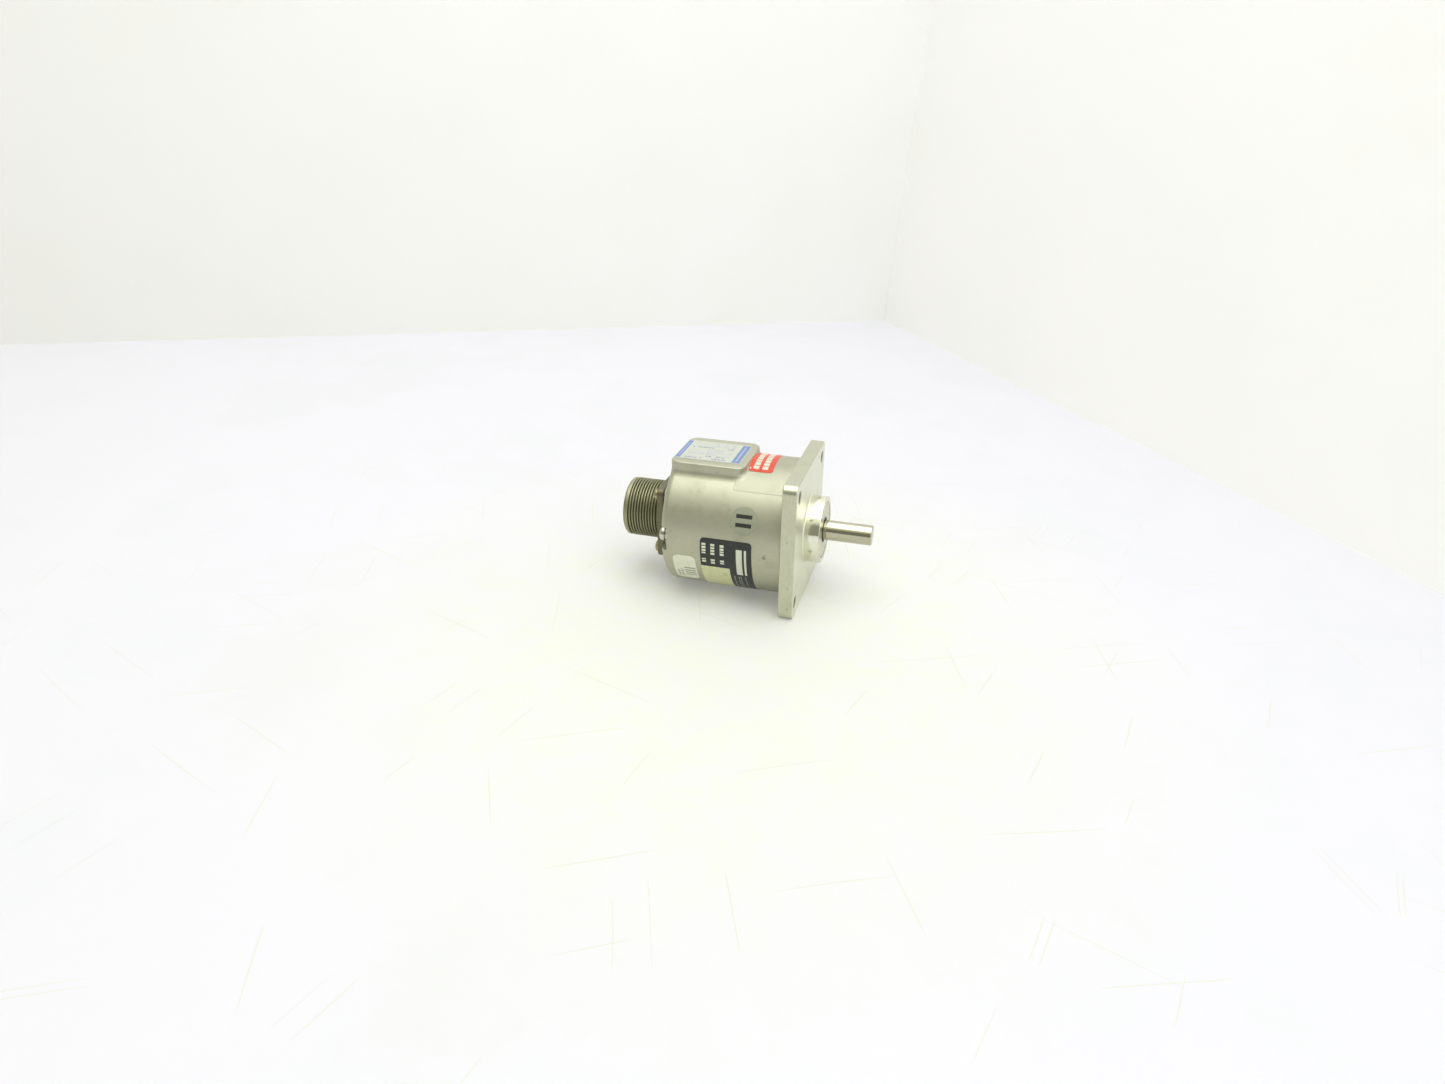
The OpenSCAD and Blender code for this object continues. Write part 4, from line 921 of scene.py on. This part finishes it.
# %% Washers
GAP_AT, GAP = 40, 14            # where a lock washer is cut, and how wide, in degrees
WIRE = (0.96, 1.28)
WOUND_STEPS = 40
wound = bmesh.new()
sheet(wound, moved(-61.78, 0, 2.54) @ turned_by(math.pi / 2), WIRE, 0.14, 2)
bmesh.ops.rotate(wound, verts=wound.verts[:], cent=(0, 0, 0), matrix=turned_by(math.radians(GAP_AT)))
bmesh.ops.spin(wound, geom=wound.verts[:] + wound.edges[:] + wound.faces[:], cent=(0, 0, 0), axis=(1, 0, 0),
               angle=math.radians(360 - GAP), steps=WOUND_STEPS, dvec=(0.0038 * MM, 0, 0))
flat = turned([(-61.1, 1.95), (-61.1, 4.1), (-61.0, 4.26), (-60.85, 4.3), (-60.35, 4.3), (-60.2, 4.2),
               (-60.2, 1.85), (-61.0, 1.85)], 48)
piece("split_washers", repeated(outwards(wound), at_mounts), "casing", "bright_steel", "cover_lock_washers",
      sharp=50)
piece("flat_washers", repeated(flat, at_mounts), "casing", "bright_steel", "cover_flat_washers")

# %% [markdown]
# ## Labels
# Six stickers: a printed plate label on the pad, and vinyl and film stickers wrapped round the can.
# Each is cut flat in mm, its printing is cut into it as faces of their own, and it is then wrapped
# round the can and given its thickness. What is printed is plain: bars and blocks in place of words.

# %% Cutting and wrapping a label
LABEL_R, LABEL_T = 32.32, 0.12
WRAP_STEP = 1.1                         # how often a sticker is cut across, to bend round the can
DEGREE = math.radians(1) * LABEL_R      # mm along the can for one degree


def cut_out(bm, x0, x1, t0, t1):
    """Cuts a rectangle into a flat sheet, and gives its faces."""
    for at, way in (((x0, 0), (1, 0)), ((x1, 0), (1, 0)), ((0, t0), (0, 1)), ((0, t1), (0, 1))):
        near = [f for f in bm.faces
                if max(v.co.x for v in f.verts) > x0 * MM and min(v.co.x for v in f.verts) < x1 * MM
                and max(v.co.y for v in f.verts) > t0 * MM and min(v.co.y for v in f.verts) < t1 * MM]
        rim = {e for f in near for e in f.edges} | {v for f in near for v in f.verts}
        bmesh.ops.bisect_plane(bm, geom=near + list(rim), dist=1e-7, plane_co=(at[0] * MM, at[1] * MM, 0),
                               plane_no=(*way, 0))
    middles = [(f, f.calc_center_median() / MM) for f in bm.faces]
    return [f for f, c in middles if x0 < c.x < x1 and t0 < c.y < t1]


def wrapped(bm, cuts, base, thick, flat=False):
    """Cuts a flat sheet across, thickens it, and wraps it round the can at the radius base. A flat
    label is only raised to that height."""
    for t in cuts:
        bmesh.ops.bisect_plane(bm, geom=bm.verts[:] + bm.edges[:] + bm.faces[:], dist=1e-7,
                               plane_co=(0, t * MM, 0), plane_no=(0, 1, 0))
    top = bmesh.ops.extrude_face_region(bm, geom=bm.faces[:], use_keep_orig=True)["geom"]
    raised = {v for v in top if isinstance(v, bmesh.types.BMVert)}
    for v in bm.verts:
        height = (base + (thick if v in raised else 0)) * MM
        turn = 0 if flat else v.co.y / (base * MM)
        v.co.y, v.co.z = v.co.y if flat else height * math.sin(turn), height * math.cos(turn)
    return outwards(bm)


def sticker(name, x0, x1, t0, t1, corner, marks, slot, node, finishes, flat_z=None):
    """A sticker from its sides in mm, t running across or round the can. Marks are (x0, x1, t0, t1,
    material), and flat_z is the height of a label that isn't wrapped."""
    bm = bmesh.new()
    sheet(bm, moved((x0 + x1) / 2, (t0 + t1) / 2), (x1 - x0, t1 - t0), corner, 12 if corner > 4 else 6)
    for *sides, number in marks:
        for face in cut_out(bm, *sides):
            face.material_index = number
    if flat_z:
        wrapped(bm, (), flat_z, LABEL_T, flat=True)
    else:
        cuts = [i * WRAP_STEP for i in range(math.ceil(t0 / WRAP_STEP), math.ceil(t1 / WRAP_STEP))]
        wrapped(bm, cuts, LABEL_R, LABEL_T)
    piece(name, bm, "casing", slot, node, sharp=40, finishes=finishes)


def words(x0, x1, start, end, sizes, gap, number):
    """A row of blocks that stand for words, from one angle to another. Their lengths come in turn."""
    start, end = start * DEGREE, end * DEGREE
    row, at, i, way = [], start, 0, 1 if end > start else -1
    while abs(at - start) + sizes[i % len(sizes)] <= abs(end - start):
        reach = at + way * sizes[i % len(sizes)]
        row.append((x0, x1, min(at, reach), max(at, reach), number))
        at, i = reach + way * gap, i + 1
    return row


print("one degree round the can is", round(DEGREE, 3), "mm")

# %% [markdown]
# The plate label is ruled in rows between two blue bands, with short printed blocks in the rows, as
# a form that was filled in. Some rows are printed darker. The red sticker has two rows of blocks.

# %% The plate label and the red sticker
PLATE_Z = 32.82
HEADED_ROWS, DARK_ROWS = (-9.9, -4.2, 4.2), (-9.9, -7.0, 4.2)
RULE_HALF, BLOCK_HALF, BLOCK_GAP = 0.09, 0.42, 0.45
rows = [(-58.9, -37.4, y - RULE_HALF, y + RULE_HALF, 2)
        for y in (-11.2, -8.4, -5.6, -2.8, 0.0, 2.8, 5.6, 8.4, 11.0)]
dice = random.Random(7)
for y in (-9.9, -7.0, -4.2, -1.4, 1.4, 4.2, 7.0, 9.7):
    at = -58.4 if y in HEADED_ROWS else -50.0
    while at < -39.0:
        width = dice.choice((0.7, 0.9, 1.3))
        if dice.random() > 0.3:
            rows.append((at, at + width, y - BLOCK_HALF, y + BLOCK_HALF, 4 if y in DARK_ROWS else 2))
        at += width + BLOCK_GAP
bands = [(-62.6, -60.3, -11.4, 11.4, 1), (-35.6, -31.8, -11.4, 11.4, 1), (-34.3, -33.3, -9.4, 9.4, 2),
         (-61.7, -61.2, -9.0, 9.0, 2)]
sticker("plate_label", -62.95, -31.35, -12.2, 12.2, 2, bands + rows,
        "label_white", "rating_label", "label_white blue_ink faint_ink grey_ink navy_ink", flat_z=PLATE_Z)
red_marks = (words(-25.4, -22.8, -18.2, 19, (2.3, 2.5, 2.2), 0.55, 1)
             + words(-21.2, -18.6, -18.2, 19, (2.5, 2.2, 2.4), 0.55, 1)
             + [(-27.0, -26.4, -18.6 * DEGREE, -16.6 * DEGREE, 1)])
sticker("red_sticker", -27.9, -15.9, -21.6 * DEGREE, 21.6 * DEGREE, 2, red_marks,
        "label_red", "red_label", "label_red pale_ink")

# %% [markdown]
# The black sticker has three short rows of blocks, a blank cream field below them, and plain bars
# beside them. The pale one is worn away towards its foot. The round one is clear film with a
# greenish look, and two plain bars on it.

# %% The side stickers
black_marks = [(-44.0, -30.3, -157.2 * DEGREE, -111.0 * DEGREE, 1)]
for x, sizes in ((-43.2, (1.05, 1.2, 1.1, 0.8)), (-39.0, (1.2, 0.9, 1.15, 1.2)),
                 (-34.6, (1.3, 1.1, 0.7, 1.2))):
    black_marks += words(x, x + 1.9, -88.2, -99.8, sizes, 0.42, 2)
    black_marks += words(x, x + 1.9, -102.6, -108.6, sizes[::-1], 0.42, 2)
black_marks += [(x0, x1, -117.0 * DEGREE, -90.5 * DEGREE, 2) for x0, x1 in ((-27.0, -24.2), (-23.2, -22.2))]
for x in (-28.6, -26.6, -25.6, -23.4):
    black_marks += words(x, x + 0.42, -119.5, -145.0, (2.6, 1.4, 3.4), 0.5, 3)
sticker("black_sticker", -44.0, -19.8, -157.5 * DEGREE, -83.5 * DEGREE, 2, black_marks,
        "label_black", "black_label", "label_black cream_ink pale_ink grey_ink")
pale_marks = [(-52.6, -47.2, (t - 1.5) * DEGREE, t * DEGREE, 1) for t in (-116.6, -120.0, -123.4, -126.8)]
pale_marks += words(-56.4, -55.2, -121.5, -134, (0.8, 0.5, 1.0), 0.6, 1)
pale_marks += words(-54.6, -53.6, -120.0, -134, (0.6, 1.1), 0.7, 1)
sticker("pale_sticker", -57.55, -46.65, -136.0 * DEGREE, -103.0 * DEGREE, 2.6, pale_marks,
        "label_white", "white_sticker", "label_worn grey_ink")
middle, round_r = -66.3 * DEGREE, 6.5
bars = [(-28.0, -20.6, middle + 1.1, middle + 2.9, 1), (-28.0, -20.6, middle - 2.9, middle - 1.1, 1)]
sticker("round_film_sticker", -24.3 - round_r, -24.3 + round_r, middle - round_r, middle + round_r,
        round_r - 0.01, bars, "label_foil", "round_sticker", "label_foil dark_ink")

# %% [markdown]
# A strip of clear tape holds the red sticker down. It runs from the flange to the foot of the pad,
# with an ear on each side of the pad, so it is cut from a flat sheet as scissors would do it. Its
# cut edges look whiter than the rest, because light leaves a film there.

# %% The clear tape
FILM_R, FILM_T = 32.46, 0.05
TAPE_FROM, TAPE_TO, TAPE_TURN = -31.6, -6.9, 42.5
TAPE_SLICES = 44
PAD_FOOT_Y, PAD_FOOT_X = 17.42, -27.95      # the pad's side and its front, where the tape meets them
EDGE_W = 0.35
reach = TAPE_TURN * math.radians(1) * FILM_R
film = bmesh.new()
sheet(film, moved((TAPE_FROM + TAPE_TO) / 2), (TAPE_TO - TAPE_FROM, 2 * reach))
pad_side = math.asin(PAD_FOOT_Y / FILM_R) * FILM_R
bmesh.ops.delete(film, geom=cut_out(film, TAPE_FROM - 0.4, PAD_FOOT_X, -pad_side, pad_side), context="FACES")
for sides in ((TAPE_FROM + EDGE_W, -7.2, -reach - 1, EDGE_W - reach),
              (TAPE_FROM + EDGE_W, -7.2, reach - EDGE_W, reach + 1),
              (TAPE_FROM - 0.4, TAPE_FROM + 0.3, -reach - 1, reach + 1)):
    for face in cut_out(film, *sides):
        face.material_index = 1
cuts = [(2 * i / TAPE_SLICES - 1) * reach for i in range(1, TAPE_SLICES)]
piece("clear_tape_strip", wrapped(film, cuts, FILM_R, FILM_T), "casing", "clear_tape", "clear_film",
      finishes="clear_tape tape_edge")
